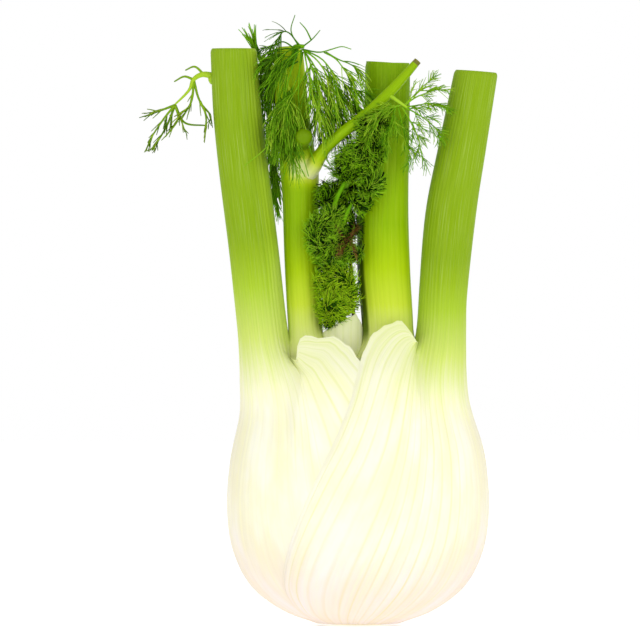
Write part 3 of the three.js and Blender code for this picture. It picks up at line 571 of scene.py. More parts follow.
    # green rises up the leaf, later at its free edges; painted light makes the stalk's right flank paler
    green = np.clip((heights - leaf["greenFrom"]) / (leaf["greenTo"] - leaf["greenFrom"]), 0, 1)
    green[: 2 * rows * columns] *= 1 - leaf["edgePale"] * smooth(0.5, 0.95, np.tile(half[0], 2 * rows))
    middle = stalkPoint(leaf["stations"], math.pi / 2, np.clip(heights, leaf["stations"][-1][0], top), 0)[:, 0]
    flank = smooth(*sheath["paintedLightAcross"], (points[:, 0] - middle) / 10)
    green -= leaf["paintedLightFlank"] * flank * smooth(*sheath["paintedLightUp"], heights)
    stalkRibbed = np.full(stalkRows * wide, sheath["stalkRibbed"])
    ribbedAll = np.concatenate([(ribbed + (sheath["stalkRibbed"] - ribbed) * blend).ravel(), np.zeros(rows * columns),
                                stalkRibbed, 0.6 * stalkRibbed, 0 * capVein])
    # peach tint near the root, and peach painted shade on the bulb's left and right flanks
    flank = smooth(*sheath["paintedFlankShade"], np.abs(points[:, 0] + 1)) * smooth(*sheath["paintedFlankShadeBelow"], heights)
    tintAndShade = np.minimum(smooth(*sheath["peachBelow"], heights) + sheath["paintedFlankShadeShare"] * flank, 1)
    attributes = {"vein": vein, "along": heights / 10, "green": green, "tintAndShade": tintAndShade, "ribbed": ribbedAll}
    material = [0] * skinFaces + [1] * (len(faces) - skinFaces)
    piece = makeMesh(leaf["name"], points, faces, [outerSkin, palePith], attributes, material)
    weld(piece)
    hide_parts(leaf["node"])


outerLeaf(rightLeaf)
outerLeaf(leftLeaf)
print("outer leaves made")


# Inner leaves: a stalk that widens into a base filling its half of the bulb
rightInner = {
    "name": "rightInnerLeaf",
    "node": "right_inner_leaf",
    "side": 1,
    "veins": 24,
    "relief": 0.14,
    "worn": 0.4,
    "tilt": -4,
    "greenFrom": 98,
    "greenTo": 160,
    "darkTop": (165, 220),
    # dark painted shade towards the crowded heart: how much, from and to which cosine of the way round, and which
    # heights
    "shaded": {"amount": 1, "across": (-0.68, -0.8), "low": (110, 118), "high": (190, 176)},
    "topPale": 0.0,
    "topPaleUp": (200, 216),
    "stations": [(225, 11.9, 3, 9, 7.4), (198, 11.5, 3, 9.1, 7.6), (166, 10.1, 2.5, 10.1, 7.8),
                 (142, 10.3, 1.5, 10.6, 8), (122, 11.7, 0, 10.3, 8.2), (104, 12.5, 0, 10, 9), (84, 12, 0, 9, 9)],
}
leftInner = dict(
    rightInner,
    name="leftInnerLeaf",
    node="left_inner_leaf",
    side=-1,
    veins=18,
    relief=0.12,
    worn=2.4,
    tilt=3,
    greenFrom=100,
    greenTo=158,
    darkTop=(300, 400),
    shaded={"amount": 0.26, "across": (-0.2, -0.85), "low": (122, 146), "high": (190, 176)},
    topPale=0.24,
    joint={"pale": 0.78, "low": (173, 181), "high": (191, 184), "across": (-0.9, -0.3)},
    stations=[(231.5, -28, 1, 5.8, 5), (210, -26.6, 1, 6.6, 5.6), (192, -24.6, 1, 6.9, 6), (183, -23.6, 1, 7.8, 6.6),
              (172, -23, 1, 7.3, 6.2), (150, -22.6, 1, 7, 6), (124, -21.4, 1, 6.9, 6), (104, -20, 0, 7, 7),
              (84, -18, 0, 7, 8)],
)
innerBase = {
    # half width, half depth and height of the bulb inside the outer leaves
    "rings": [(32, 24, 12.5), (40, 30, 19), (46, 34.5, 31), (47.5, 36, 46), (46.5, 34.5, 64), (43, 29, 82),
              (39, 21, 97), (33, 12.5, 107)],
    "split": [(-3, 0), (-5, 80), (-6.5, 135)],  # x and height of the line between the two leaves
    "gap": 0.3,
    "stalkFrom": 104,
    "flareTo": 122,
    "wornOver": 4,
    "unevenRibs": ((0.35, 3, 1), (0.2, 7, 0)),
    "ribbed": 0.6,
}
sideBranch = {
    "path": [(-22, 0, 177), (-17.5, -4, 184), (-13.2, -7.5, 190.5), (-6.4, -10.5, 196.6), (3.2, -12, 204),
             (11.2, -12.5, 211.4), (16.8, -12.2, 217.4), (23.8, -11, 225.4)],
    "radii": [3.4, 3.2, 2.5, 2.3, 2.4, 2.3, 2, 1.5],
    "steps": 90,
    "sides": 40,
    "ridges": 9,
    "green": (0.1, 0.9),
    "greenAlong": (0.06, 0.32),
}
stub = {
    # a shoot that was cut off in front of the stalk
    "path": [(-22.0, -3, 193.4), (-21.8, -10, 194.6), (-21.6, -17.2, 195.4)],
    "radius": 3.6,
    "steps": 12,
    "sides": 24,
    "green": 0.93,
    "shade": (0.6, 0.45),  # of its side and of its worn end
}


def ringStack(rings, closedTop=False):
    # rings of equally many points, bottom first, closed underneath and, where asked, on top
    rings = np.asarray(rings)
    numbers = np.arange(rings.shape[0] * rings.shape[1]).reshape(rings.shape[:2])
    closed = np.hstack([numbers, numbers[:, :1]])
    faces = quads(closed[:-1], closed[1:]) + fan(numbers[0], numbers.size, True)
    points = [rings.reshape(-1, 3), rings[:1].mean(1)]
    if closedTop:
        points.append(rings[-1:].mean(1))
        faces += fan(numbers[-1], numbers.size + 1)
    return np.vstack(points), faces


def innerLeaf(leaf, extra=None):
    side = leaf["side"]
    count = leaf["veins"] * 6
    a = around(count)
    phase = a / (2 * math.pi) * leaf["veins"] + waves(a, innerBase["unevenRibs"])
    relief = leaf["relief"] * (np.abs(np.sin(math.pi * phase)) ** sheath["ribPower"] - 1)
    top, topX = leaf["stations"][0][:2]
    # base: half of the bulb's inside, an ellipse cut off along the split
    baseRings = []
    split = np.asarray(innerBase["split"], float)
    for width, depth, height in curve(innerBase["rings"], 28):
        x = width * np.cos(a) - leanAt(height)
        line = np.interp(height, split[:, 1], split[:, 0]) + innerBase["gap"] * side
        x = np.maximum(x, line) if side > 0 else np.minimum(x, line)
        baseRings.append(np.stack([x, -depth * np.sin(a), np.full(count, height)], -1))
    low, rim = innerBase["stalkFrom"], innerBase["wornOver"]
    heights = np.append(np.linspace(low, top - rim, 78), top - rim * np.linspace(1, 0, 9)[1:] ** 1.6)
    # the top's rim is worn round
    worn = leaf["worn"] * np.maximum(0, (heights - top + rim) / rim) ** 3
    stalkRings = [stalkPoint(leaf["stations"], a, np.full(count, h), relief - w) for h, w in zip(heights, worn)]
    last = baseRings[-1][:, :2]
    for ring, flare in zip(stalkRings, smooth(innerBase["flareTo"], low, heights)):
        ring[:, :2] += (last - ring[:, :2]) * flare**2.2 * 0.55
    stalkRings[-1][:, 2] += (stalkRings[-1][:, 0] - topX) * math.tan(math.radians(leaf["tilt"]))
    rings = np.array(baseRings + stalkRings)
    points, faces = ringStack(rings)
    skinFaces = len(faces)
    points, faces, capVein = capTop(points, faces, rings[-1], cut["drops"])
    heights = points[:, 2]
    vein = np.concatenate([np.tile(phase, len(rings)), [0.0], capVein])
    green = 0.86 * np.clip((heights - leaf["greenFrom"]) / (leaf["greenTo"] - leaf["greenFrom"]), 0, 1)
    green += 0.14 * smooth(*leaf["darkTop"], heights) - leaf["topPale"] * smooth(*leaf["topPaleUp"], heights)
    toRight = np.concatenate([np.tile(np.cos(a), len(rings)), np.zeros(1 + len(capVein))])
    if "joint" in leaf:  # the skin is nearly white where the side branch leaves
        joint = leaf["joint"]
        band = smooth(*joint["low"], heights) * smooth(*joint["high"], heights)
        green *= 1 - joint["pale"] * band * smooth(*joint["across"], toRight)
    # painted shade darkens the flank that faces the crowded heart
    shaded = leaf["shaded"]
    tintAndShade = shaded["amount"] * smooth(*shaded["across"], toRight)
    tintAndShade *= smooth(*shaded["low"], heights) * smooth(*shaded["high"], heights)
    material = [0] * skinFaces + [1] * (len(faces) - skinFaces)
    if extra is not None:
        points, faces, material, *fields = besides((points, faces, material, vein, green, tintAndShade), extra)
        vein, green, tintAndShade = fields
    ribbed = np.full(len(points), innerBase["ribbed"])
    attributes = {"vein": vein, "along": points[:, 2] / 10, "green": green, "tintAndShade": tintAndShade, "ribbed": ribbed}
    piece = makeMesh(leaf["name"], points, faces, [innerSkin, palePith, brownedCut], attributes, material)
    weld(piece)
    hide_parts(leaf["node"])


def ringsAlong(path, radius, sides):
    # round rings on a path, whose two directions across are carried along it without twist
    along = unit(np.gradient(path, axis=0))
    across = np.zeros_like(path)
    ref = np.cross(along[0], [0.13, 0.97, 0.21])
    for i, d in enumerate(along):
        ref = unit(ref - d * np.dot(ref, d))
        across[i] = ref
    a = around(sides)[None, :, None]
    ways = across[:, None] * np.cos(a) + np.cross(along, across)[:, None] * np.sin(a)
    return path[:, None] + ways * radius[..., None]


def branchTube():
    # points, faces, materials, veins, greens and shades
    steps, sides = sideBranch["steps"], sideBranch["sides"]
    share = np.linspace(0, 1, steps)
    radius = np.interp(share, np.linspace(0, 1, len(sideBranch["radii"])), sideBranch["radii"])
    phase = around(sides) / (2 * math.pi) * sideBranch["ridges"]
    ridge = 0.1 * (np.abs(np.sin(math.pi * phase)) - 1)
    rings = ringsAlong(curve(sideBranch["path"], steps), radius[:, None] + ridge[None], sides)
    points, faces = ringStack(rings)
    skinFaces = len(faces)
    points, faces, capVein = capTop(points, faces, rings[-1], cut["drops"])
    low, high = sideBranch["green"]
    green = np.repeat(low + (high - low) * smooth(*sideBranch["greenAlong"], share), sides)
    green = np.concatenate([green, [low], np.full(len(capVein), high)])
    vein = np.concatenate([np.tile(phase, steps), [0.0], capVein])
    browned = (steps - 3) * sides  # the last two rows of skin are browned with the cut itself
    material = [0] * browned + [2] * (2 * sides) + [0] * (skinFaces - browned - 2 * sides)
    material += [2] * (len(faces) - skinFaces)
    return points, faces, material, vein, green, np.zeros(len(points))


def stubTube():
    share = np.linspace(0, 1, stub["steps"])
    radius = stub["radius"] * (1 - 0.75 * share**12)
    points, faces = ringStack(ringsAlong(curve(stub["path"], stub["steps"]), radius[:, None], stub["sides"]), True)
    worn = np.arange(len(points)) >= (stub["steps"] - 2) * stub["sides"]
    vein, green = np.full(len(points), 0.5), np.full(len(points), stub["green"])
    return points, faces, [0] * len(faces), vein, green, np.where(worn, stub["shade"][1], stub["shade"][0])


def besides(first, second):
    # two bodies put together: points, faces, materials, then any fields of numbers
    shifted = [[i + len(first[0]) for i in f] for f in second[1]]
    fields = [np.concatenate([a, b]) for a, b in zip(first[3:], second[3:])]
    return np.vstack([first[0], second[0]]), first[1] + shifted, first[2] + second[2], *fields


innerLeaf(rightInner)
innerLeaf(leftInner, besides(branchTube(), stubTube()))
print("inner leaves made")


# Heart leaf: a thin pale sheath, open at its slanting top
heart = {
    "stations": [(130, -5.6, 1, 8, 6.2), (116, -6, 0.5, 8.6, 7), (98, -5.5, 0, 7.5, 6.5), (76, -4, 0, 4.5, 4.5),
                 (58, -3, 0, 2, 2)],
    # x and height along the rim, which rises from the left to a point near the right, then drops
    "rim": [(-14.2, 116.6), (-8, 120.4), (-2.4, 124.0), (-0.9, 124.9), (0.8, 121.5), (2.6, 117.0)],
    "rimWaves": ((0.35, 3, 1),),
    "low": 60.0,
    "mouth": 16,  # how deep it is open
    "wall": 0.8,
    "veins": 16,
    "ribbed": 0.6,
}


def heartLeaf():
    count = heart["veins"] * 8
    a = around(count)
    phase = a / (2 * math.pi) * heart["veins"]
    relief = 0.18 * (np.abs(np.sin(math.pi * phase)) ** 0.8 - 1)
    rim = np.interp(-5.8 + 8.2 * np.cos(a), *np.transpose(heart["rim"])) + waves(a, heart["rimWaves"])
    low, mouth = heart["low"], heart["mouth"]
    rings = [stalkPoint(heart["stations"], a, low + (rim - low) * k, relief) for k in np.linspace(0, 1, 50)]
    for k in np.linspace(1, 0, 24)[1:]:
        rings.append(stalkPoint(heart["stations"], a, rim - mouth + mouth * k, relief - heart["wall"]))
    points, faces = ringStack(rings, True)
    attributes = {
        "vein": np.concatenate([np.tile(phase, len(rings)), [0.0, 0.0]]),
        "along": points[:, 2] / 10,
        "green": np.clip((points[:, 2] - 100) / 40, 0, 1),
        "ribbed": np.full(len(points), heart["ribbed"]),
    }
    piece = makeMesh("heartLeaf", points, faces, [heartSkin], attributes)
    weld(piece)
    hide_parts("heart_leaf")


heartLeaf()

# Root end: the short stem under the leaves, cut across and slightly browned
rootEnd = {
    "width": 30.4,
    "depth": 26.0,
    "height": 12.0,
    "crown": 0.62,
    "sides": 96,
    "wobble": ((0.25, 5, 0.4), (0.18, 11, 0)),
    "inset": 0.3,
    # share of the height, and how far the worn rim stands out from the full size there
    "rim": [(0, -8), (0.01, -6.2), (0.03, -3.8), (0.055, -1.7), (0.09, -0.2), (0.2, 0), (0.4, 0), (0.7, 0), (1, 0)],
}


# A trimmed root is dry fibrous tissue: matt, pale tan, with browner rings and flecks about 2 mm wide.
def cutRoot():
    material, tree, shader = newMaterial("trimmed root", {"Roughness": 0.8, "Specular IOR Level": 0.3})
    where = addNode(tree, "TexCoord").outputs["Object"]
    inputs = {"Vector": where, "Scale": 110.0, "Distortion": 6.0, "Detail": 3.0}
    rings = addNode(tree, "TexWave", inputs, wave_type="RINGS", rings_direction="Z").outputs["Fac"]
    fleck = addNode(tree, "TexNoise", {"Vector": where, "Scale": 420.0, "Detail": 4.0}).outputs["Fac"]
    tone = colourRamp(tree, fleck, [(0.3, "#dccaa0"), (0.5, "#f6edd6"), (0.75, "#fffaf0")])
    tree.links.new(mixColours(tree, rings, tone, srgb("#efe4c8")), shader.inputs["Base Color"])
    roughen(tree, shader, fleck, 0.6, 0.6)
    return material


def rootPiece():
    a = around(rootEnd["sides"])
    wobble = waves(a, rootEnd["wobble"]) - rootEnd["inset"]
    rings = []
    for rise, tuck in rootEnd["rim"]:
        share = 1 + (rootEnd["crown"] - 1) * rise**2
        rx, ry = (rootEnd[key] / 2 * share + wobble + tuck for key in ("width", "depth"))
        rings.append(np.stack([rx * np.cos(a), ry * np.sin(a), 0 * a + rise * rootEnd["height"]], -1))
    points, faces = ringStack(rings, True)
    piece = makeMesh("rootEnd", points, faces, [cutRoot()])
    weld(piece)
    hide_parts("root_end")


rootPiece()
print("heart leaf and root end made")


clearOf = [leaf["stations"] for leaf in (rightLeaf, leftLeaf, rightInner, leftInner)]


def bentClear(paths, room=1.0):
    # points that would lie in a stalk are moved straight out of it
    points = np.array(paths, float).reshape(-1, 3)
    for stations in clearOf:
        st = np.asarray(stations, float)[::-1]
        x, y, hx, hy = (np.interp(points[:, 2], st[:, 0], st[:, k]) for k in range(1, 5))
        dx, dy = points[:, 0] - x, points[:, 1] - y
        far = np.hypot(dx / (hx + room), dy / (hy + room))
        inside = (far < 1) & (far > 1e-6) & (points[:, 2] > st[0, 0]) & (points[:, 2] < st[-1, 0] + 0.5)
        scale = np.where(inside, 1 / np.maximum(far, 1e-6), 1)
        points[:, 0], points[:, 1] = x + dx * scale, y + dy * scale
    return points.reshape(np.shape(paths))


def tubes(paths, startRadius, endRadius, sides):
    # many tapering tubes at once: their points, triangles and how far along each point is
    n, steps, _ = paths.shape
    along = unit(np.gradient(paths, axis=1))
    across = np.empty_like(paths)
    ref = np.cross(along[:, 0], [0.13, 0.97, 0.21])
    for i in range(steps):
        ref = unit(ref - along[:, i] * (ref * along[:, i]).sum(-1, keepdims=True))
        across[:, i] = ref
    third = np.cross(along, across)
    share = np.linspace(0, 1, steps)
    radius = (startRadius + (endRadius - startRadius) * share)[:, None, None]
    a = 2 * math.pi * np.arange(sides)[:, None] / sides
    rings = paths[:, :, None] + (across[:, :, None] * np.cos(a) + third[:, :, None] * np.sin(a)) * radius
    tips = paths[:, -1] + along[:, -1] * endRadius
    points = np.concatenate([rings.reshape(n, -1, 3), tips[:, None]], 1)
    i, j = np.meshgrid(np.arange(steps - 1) * sides, np.arange(sides), indexing="ij")
    k = (j + 1) % sides
    last, j1 = (steps - 1) * sides, np.arange(sides)
    one = np.concatenate([
        np.stack([i + j, i + k, i + sides + k], -1).reshape(-1, 3),
        np.stack([i + j, i + sides + k, i + sides + j], -1).reshape(-1, 3),
        np.stack([last + j1, last + (j1 + 1) % sides, 0 * j1 + last + sides], -1),
        np.stack([0 * j1[1:-1], j1[2:], j1[1:-1]], -1),
    ])
    faces = (np.arange(n)[:, None, None] * points.shape[1] + one).reshape(-1, 3)
    return points, faces, np.append(np.repeat(share, sides), 1.0)


def bend(roots, ways, lengths, look, towards=None):
    # shoots that curl to one side, or towards a way given, and sag under their own weight
    k = np.linspace(0, 1, look["steps"])[:, None]
    length = np.asarray(lengths)[:, None, None]
    aside = unit(np.cross(ways, rng.normal(size=ways.shape)))
    if towards is not None:
        aside = unit(0.5 * aside + towards)
    pulled = aside[:, None] * look["curl"] + np.array([0, 0, -1.0]) * look["droop"]
    return bentClear(roots[:, None] + ways[:, None] * length * k + pulled * length * k**2)


def sprout(parents, count, look, planes=None):
    # side shoots in two rows along each parent, like the barbs of a feather
    n, steps = parents.shape[:2]
    if planes is None:
        planes = rng.normal(size=(n, 3)) * (1, 0.6, 1)
    bare = look.get("bare", 0.08)
    at = bare + (1 - bare) * (np.arange(count) + rng.uniform(0.2, 0.8, (n, count))) / count
    i = np.minimum((at * (steps - 1)).astype(int), steps - 2)
    row = np.arange(n)[:, None]
    a, b = parents[row, i], parents[row, i + 1]
    roots, along = a + (b - a) * (at * (steps - 1) - i)[..., None], unit(b - a)
    side = unit(np.cross(along, planes[:, None]))
    up = np.cross(side, along)
    tilt = rng.normal(0, look["twist"], (n, count, 1))
    out = side * np.cos(tilt) * np.where(np.arange(count) % 2, 1, -1)[:, None] + up * np.sin(tilt)
    angle = np.radians(look["open"] + rng.normal(0, 7, (n, count, 1))) * (1.15 - 0.5 * at[..., None])
    ways = along * np.cos(angle) + out * np.sin(angle)
    lengths = look["length"] * rng.uniform(0.7, 1.25, (n, count)) * (1.1 - 0.5 * at)
    made = bend(roots.reshape(-1, 3), ways.reshape(-1, 3), lengths.ravel(), look, along.reshape(-1, 3))
    return made, np.repeat(planes, count, 0)


growth = {
    # what all fronds share: taper is the end's thickness as a share of the start's, thick and thin are both
    # as shares of the parent's, and tips are how pale the start and the end are
    "stem": {"steps": 24, "sides": 8, "tone": 0.85, "tips": (0.0, 0.0)},
    "shoot": {"steps": 12, "sides": 7, "tone": 0.5, "tips": (0.7, 0.3), "taper": 0.6},
    "branch": {"steps": 16, "sides": 5, "tips": (0.1, 0.6), "taper": 0.5},
    "twig": {"sides": 4, "tips": (0.1, 0.7), "thick": 0.62, "thin": 0.4},
    "thread": {"sides": 3, "tips": (0.3, 1.0), "taper": 0.5},
    "layer": {"taper": 0.55, "toneSpread": 0.14},
    "fork": {"share": 0.55, "open": 30, "tips": (0.6, 1.0), "thick": 0.8, "thin": 0.45},
    "layerFork": {"share": 0.5, "open": 34, "tips": (0.4, 1.0), "thick": 0.8, "thin": 0.5},
    "bundle": {"sides": 4, "tips": (0.1, 1.0), "radii": (0.3, 0.16), "droop": 0.0, "curl": 0.12, "steps": 8},
    "lumpSize": 49,  # width times height of a lump that has just the layers' counts
    "keepInside": 0.2,
}


class Frond:
    # gathers one frond's stems, twigs and threads into one mesh
    def __init__(self, look):
        self.look, self.parts, self.count = look, [], 0

    def add(self, paths, startRadius, endRadius, sides, tone, tips):
        points, faces, share = tubes(paths, startRadius, endRadius, sides)
        tone = np.repeat(np.broadcast_to(tone, len(paths)), points.shape[1])
        tip = np.tile(tips[0] + (tips[1] - tips[0]) * share, len(paths))
        self.parts.append((points.reshape(-1, 3), faces + self.count, tone, tip))
        self.count += points.shape[0] * points.shape[1]

    def threads(self, twigs, planes, tone):
        look, grown = self.look["thread"], growth["thread"]
        radius = look["radius"]
        made, childPlanes = sprout(twigs, look["count"], look, planes)
        tones = np.repeat(np.broadcast_to(tone, len(twigs)), look["count"])
        tones = tones + rng.normal(0, self.look["mottle"], len(made))
        self.add(made, radius, radius * grown["taper"], grown["sides"], tones, grown["tips"])
        self.forks(made, childPlanes, tones, look, growth["fork"])

    def forks(self, threads, planes, tones, look, fork):
        # some of the threads split in two
        forked = rng.random(len(threads)) < look["fork"]
        if forked.any():
            again = dict(self.look["thread"], length=look["length"] * fork["share"], open=fork["open"])
            made, _ = sprout(threads[forked], 2, again, planes[forked])
            thick, thin = look["radius"] * fork["thick"], look["radius"] * fork["thin"]
            self.add(made, thick, thin, growth["thread"]["sides"], np.repeat(tones[forked], 2), fork["tips"])

    def branch(self, points, twigs, bare=None):
        look, grown, twig = self.look, growth["branch"], growth["twig"]
        steps, thick = grown["steps"], look["branchRadius"]
        path = bentClear(curve(points, steps))[None]
        tone = look["tone"] + rng.uniform(-0.12, 0.12)
        self.add(path, thick, thick * grown["taper"], grown["sides"], tone, grown["tips"])
        if not twigs:
            return
        twigLook = look["twig"] if bare is None else dict(look["twig"], bare=bare)
        made, planes = sprout(path, twigs, twigLook)
        tones = tone + rng.normal(0, 0.1, len(made))
        self.add(made, thick * twig["thick"], thick * twig["thin"], twig["sides"], tones, twig["tips"])
        self.threads(made, planes, tones)
        self.threads(path[:, 6 if bare is None else round(steps * bare) :], None, tone)

    def bundle(self, start, end, count, spread, tone):
        # threads that stay together like the hairs of a brush
        grown = growth["bundle"]
        begin = np.array(start) + rng.normal(size=(count, 3)) * 0.35
        way = np.array(end) + rng.normal(size=(count, 3)) * spread - begin
        length = np.linalg.norm(way, axis=1) * rng.uniform(0.7, 1.1, count)
        tones = tone + rng.normal(0, 0.15, count)
        self.add(bend(begin, unit(way), length, grown), *grown["radii"], grown["sides"], tones, grown["tips"])

    def lump(self, x, y, z, rx, ry, rz, tone=0.0):
        # a crowded young leaf: layers of threads combed round it in swirls, darker the deeper they lie as painted
        # shade
        look, grown = self.look, growth["layer"]
        middle, size = np.array([x, y, z]), np.array([rx, ry, rz])
        fit = min(1.0, math.sqrt(rx * rz) / 5)  # small lumps have shorter threads
        for layer in look["layers"]:
            n = int(layer["count"] * (rx * rz / growth["lumpSize"]) ** 0.9)
            k = np.arange(n) + rng.uniform(-0.3, 0.3, n)
            h = np.clip(1 - (2 * k + 1) / n, -1, 1)
            level, turn = np.sqrt(1 - h * h), k * goldenAngle
            out = np.stack([level * np.cos(turn), level * np.sin(turn), h], -1)
            roots = middle + out * size * (layer["deep"] + rng.uniform(-0.06, 0.06, (n, 1)))
            normal = unit(out / size)
            swirl = 1.7 * np.sin(0.36 * roots[:, 2] + x) + 1.5 * np.sin(0.45 * roots[:, 0] + z)
            sway = np.stack([np.cos(swirl), 0 * swirl + 0.2, np.sin(swirl)], -1)
            flow = unit(np.cross(normal, sway + rng.normal(0, look["tousle"], (n, 3))))
            ways = unit(flow + normal * layer["stand"])
            lengths = layer["length"] * fit * rng.uniform(0.65, 1.2, n)
            made = bend(roots, ways, lengths, layer, np.cross(normal, flow))
            tones = look["tone"] + tone + layer["tone"] + rng.normal(0, grown["toneSpread"], n)
            radius, sides = layer["radius"], growth["thread"]["sides"]
            self.add(made, radius, radius * grown["taper"], sides, tones, (0.0, layer["tip"]))
            self.forks(made, normal, tones, layer, growth["layerFork"])

    def finish(self):
        look = self.look
        points, faces, tone, tip = (np.concatenate(part) for part in zip(*self.parts))
        # painted light on threads towards the front, painted shade on those further back
        tone = tone + look["inFront"] * (smooth(look["frontFrom"], look["frontFrom"] - 9, points[:, 1]) - 0.6)
        low, high = (np.array(corner) / millimetre for corner in cadBox)
        points = np.clip(points, low + growth["keepInside"], high - growth["keepInside"])
        made = makeMesh(look["name"], points, faces, [frondGreens[look["colour"]]], {"tone": tone, "tip": tip})
        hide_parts(look["node"])
        print(look["name"], "has", len(faces), "triangles")


usualLevels = (0.0, 0.35, 0.65, 1.0)
frondLooks = {
    "pale": {"levels": usualLevels, "tones": ("#183e02", "#3a7404", "#70aa0a", "#b2d636"),
             "tipColour": "#76a81c", "tipShare": 0.4},
    "dark": {"levels": usualLevels, "tones": ("#041400", "#1a4600", "#529404", "#a8d03a"),
             "tipColour": "#94d210", "tipShare": 0.62},
    "moss": {"levels": usualLevels, "tones": ("#0e2c02", "#366a04", "#80be06", "#c4e434"),
             "tipColour": "#b0e010", "tipShare": 0.62},
    "sprig": {"levels": usualLevels, "tones": ("#1e4403", "#4a7e0c", "#8ab41c", "#bcd83c"),
              "tipColour": "#3a4a14", "tipShare": 0.7},
    "withered": {"levels": (0.0, 0.4, 0.7, 1.0), "tones": ("#140c04", "#3a240c", "#6a4a1e", "#94703a"),
                 "tipColour": "#866234", "tipShare": 0.3},
}
frondGreens = {name: frondGreen(name + " fennel frond", look) for name, look in frondLooks.items()}
# threads of a crowded young leaf, from the thick ones deep inside, dark with painted shade, to the fine pale-tipped
# ones
deepLayer = {"deep": 0.6, "count": 230, "length": 4.6, "stand": 0.1, "curl": 0.5, "droop": 0, "steps": 3,
             "radius": 0.4, "tone": -0.66, "tip": 0.0, "fork": 0.0}
heartLayers = [
    deepLayer,
    dict(deepLayer, deep=0.72, count=280, length=4.0, stand=0.35, curl=0.6, steps=5, radius=0.17, tone=-0.44,
         tip=0.1),
    dict(deepLayer, deep=0.86, count=520, length=3.8, stand=0.5, curl=0.8, steps=6, radius=0.15, tone=0.04, tip=1.0,
         fork=0.06),
]
# In each frond a branch is its points, how many twigs it has and, where given, how far it is bare; a bundle
# is its start, end, count, spread and tone; a lump is its middle, half sizes and, where given, a tone.
crownTop = (-22, -8, 230)
crownFrond = {
    "name": "crownFrond", "node": "crown_frond", "slot": "pale_frond", "colour": "pale",
    "tone": 0.58, "mottle": 0.2, "inFront": 0.4, "frontFrom": -6, "branchRadius": 0.36,
    "twig": {"length": 9, "open": 30, "twist": 0.7, "droop": 0.4, "curl": 0.12, "steps": 7, "bare": 0.26},
    "thread": {"count": 11, "length": 7.0, "open": 27, "twist": 0.6, "droop": 0.3, "curl": 0.14, "steps": 5,
               "radius": 0.24, "fork": 0.25},
    "stem": [(-28, 0.5, 222), (-27, -0.5, 228), (-25, -4, 231), (-22, -7, 231.2)],
    "stemRadii": (1.6, 0.9),
    "branches": [
        ([(-22, -7, 231.2), (-18.4, -8, 234), (-15.2, -8.5, 237.6)], 0),
        ([(-18.8, -8, 234), (-20.8, -8, 238), (-23.2, -8, 240.8)], 0),
        ([(-23.2, -6, 231.6), (-26, -6, 235.2), (-26.8, -5, 238.4), (-25.2, -5, 243.8)], 0),
        ([(-23.2, -6, 230.8), (-27.2, -6, 236.4), (-29.6, -6, 237.2), (-32.4, -7, 234)], 1),
        ([(-24.8, -6, 230), (-29.8, -4, 233.2), (-33.8, 0, 231.6), (-36.6, 3, 231.2)], 3),
        ([crownTop, (-15.2, -11, 228.8), (-10.4, -12, 230), (-6.4, -12.5, 231), (-2.8, -12.5, 230)], 0),
        ([(-12.8, -11, 228.8), (-8, -12, 226), (-3.2, -13, 224), (0.4, -13, 221.6)], 1),
        ([(-13.6, -11, 228.8), (-8.8, -13, 226), (-5.2, -14, 221.2), (-3.2, -14, 218)], 2),
        ([crownTop, (-14.4, -12, 226), (-8.4, -12, 218.8), (-3.2, -10, 214.8), (1.2, -8, 212.8)], 9),
        ([crownTop, (-16, -12, 225.2), (-10.4, -11, 216.4), (-5.6, -8, 210.4), (-1.6, -6, 206.8)], 12),
        ([crownTop, (-17.6, -12, 223.6), (-12.8, -11, 214), (-8.8, -8, 206.4), (-6.2, -6, 201.2)], 14),
        ([(-21.6, -8, 230), (-18.4, -13, 222.8), (-15, -12, 213), (-12.4, -9, 206),
          (-11.4, -7, 200.6)], 15, 0.1),
        ([(-21.6, -8, 230), (-20.2, -13, 222), (-18.2, -13, 213), (-16.4, -11, 206),
          (-15.6, -9, 199.6)], 13, 0.2),
        ([(-22.6, -8, 230), (-23.4, -12, 221.2), (-23.8, -12, 212), (-23.6, -11, 206.2),
          (-24.4, -11, 202.6)], 7, 0.6),
        ([(-24, -8, 230), (-26.8, -12, 221.2), (-28.8, -12, 213), (-29.2, -12, 205),
          (-28, -11, 195.6)], 13, 0.5),
        ([(-24.8, -7, 230), (-29.6, -10, 222), (-31.4, -10, 213), (-32.2, -10, 205),
          (-33.4, -10, 197)], 14, 0.52),
        ([(-24.4, -8, 226.8), (-29, -8, 224.4), (-32.4, -3, 220.4), (-34.8, 1, 214.8)], 8, 0.4),
        ([(-24, -8, 225.2), (-28.2, -6, 223.2), (-32.2, -1, 222), (-35.6, 3, 219.8)], 6, 0.4),
        ([(-24.4, -7, 230), (-29.4, -5, 230.4), (-33.2, 0, 228.6), (-36.4, 3, 226.6)], 6, 0.4),
        ([(-28.4, -11, 220), (-30, -11, 211), (-30.8, -10, 202), (-30.6, -9, 194.6)], 13, 0.2),
        ([crownTop, (-26.2, -10, 227.4), (-31, -9, 221)], 4, 0.45),
        ([(-22, -8, 229), (-24.2, -11, 219), (-28.4, -11, 209.6)], 4, 0.6),
        ([(-18, -10, 224.6), (-23, -12, 217), (-29.4, -12, 205)], 3, 0.62),
        ([(-23, -7, 231), (-27.4, -8, 229.6), (-32.6, -8, 227)], 3, 0.5),
        ([(-28.8, -12, 202), (-32.4, -12.4, 196), (-37.6, -13, 189.8), (-45.2, -13, 183.6)], 0),
        ([(-27.2, -10, 196), (-26.4, -10.4, 190), (-27.8, -10.6, 183.2)], 1),
        ([(-21.6, -10, 199), (-19.4, -10.4, 191), (-17.4, -10.6, 184.4)], 0),
        ([(-24, -10, 198), (-22.6, -10.4, 190), (-19.8, -10.4, 179.4)], 0),
    ],
}
rearTop = (-40.4, 9, 229.4)
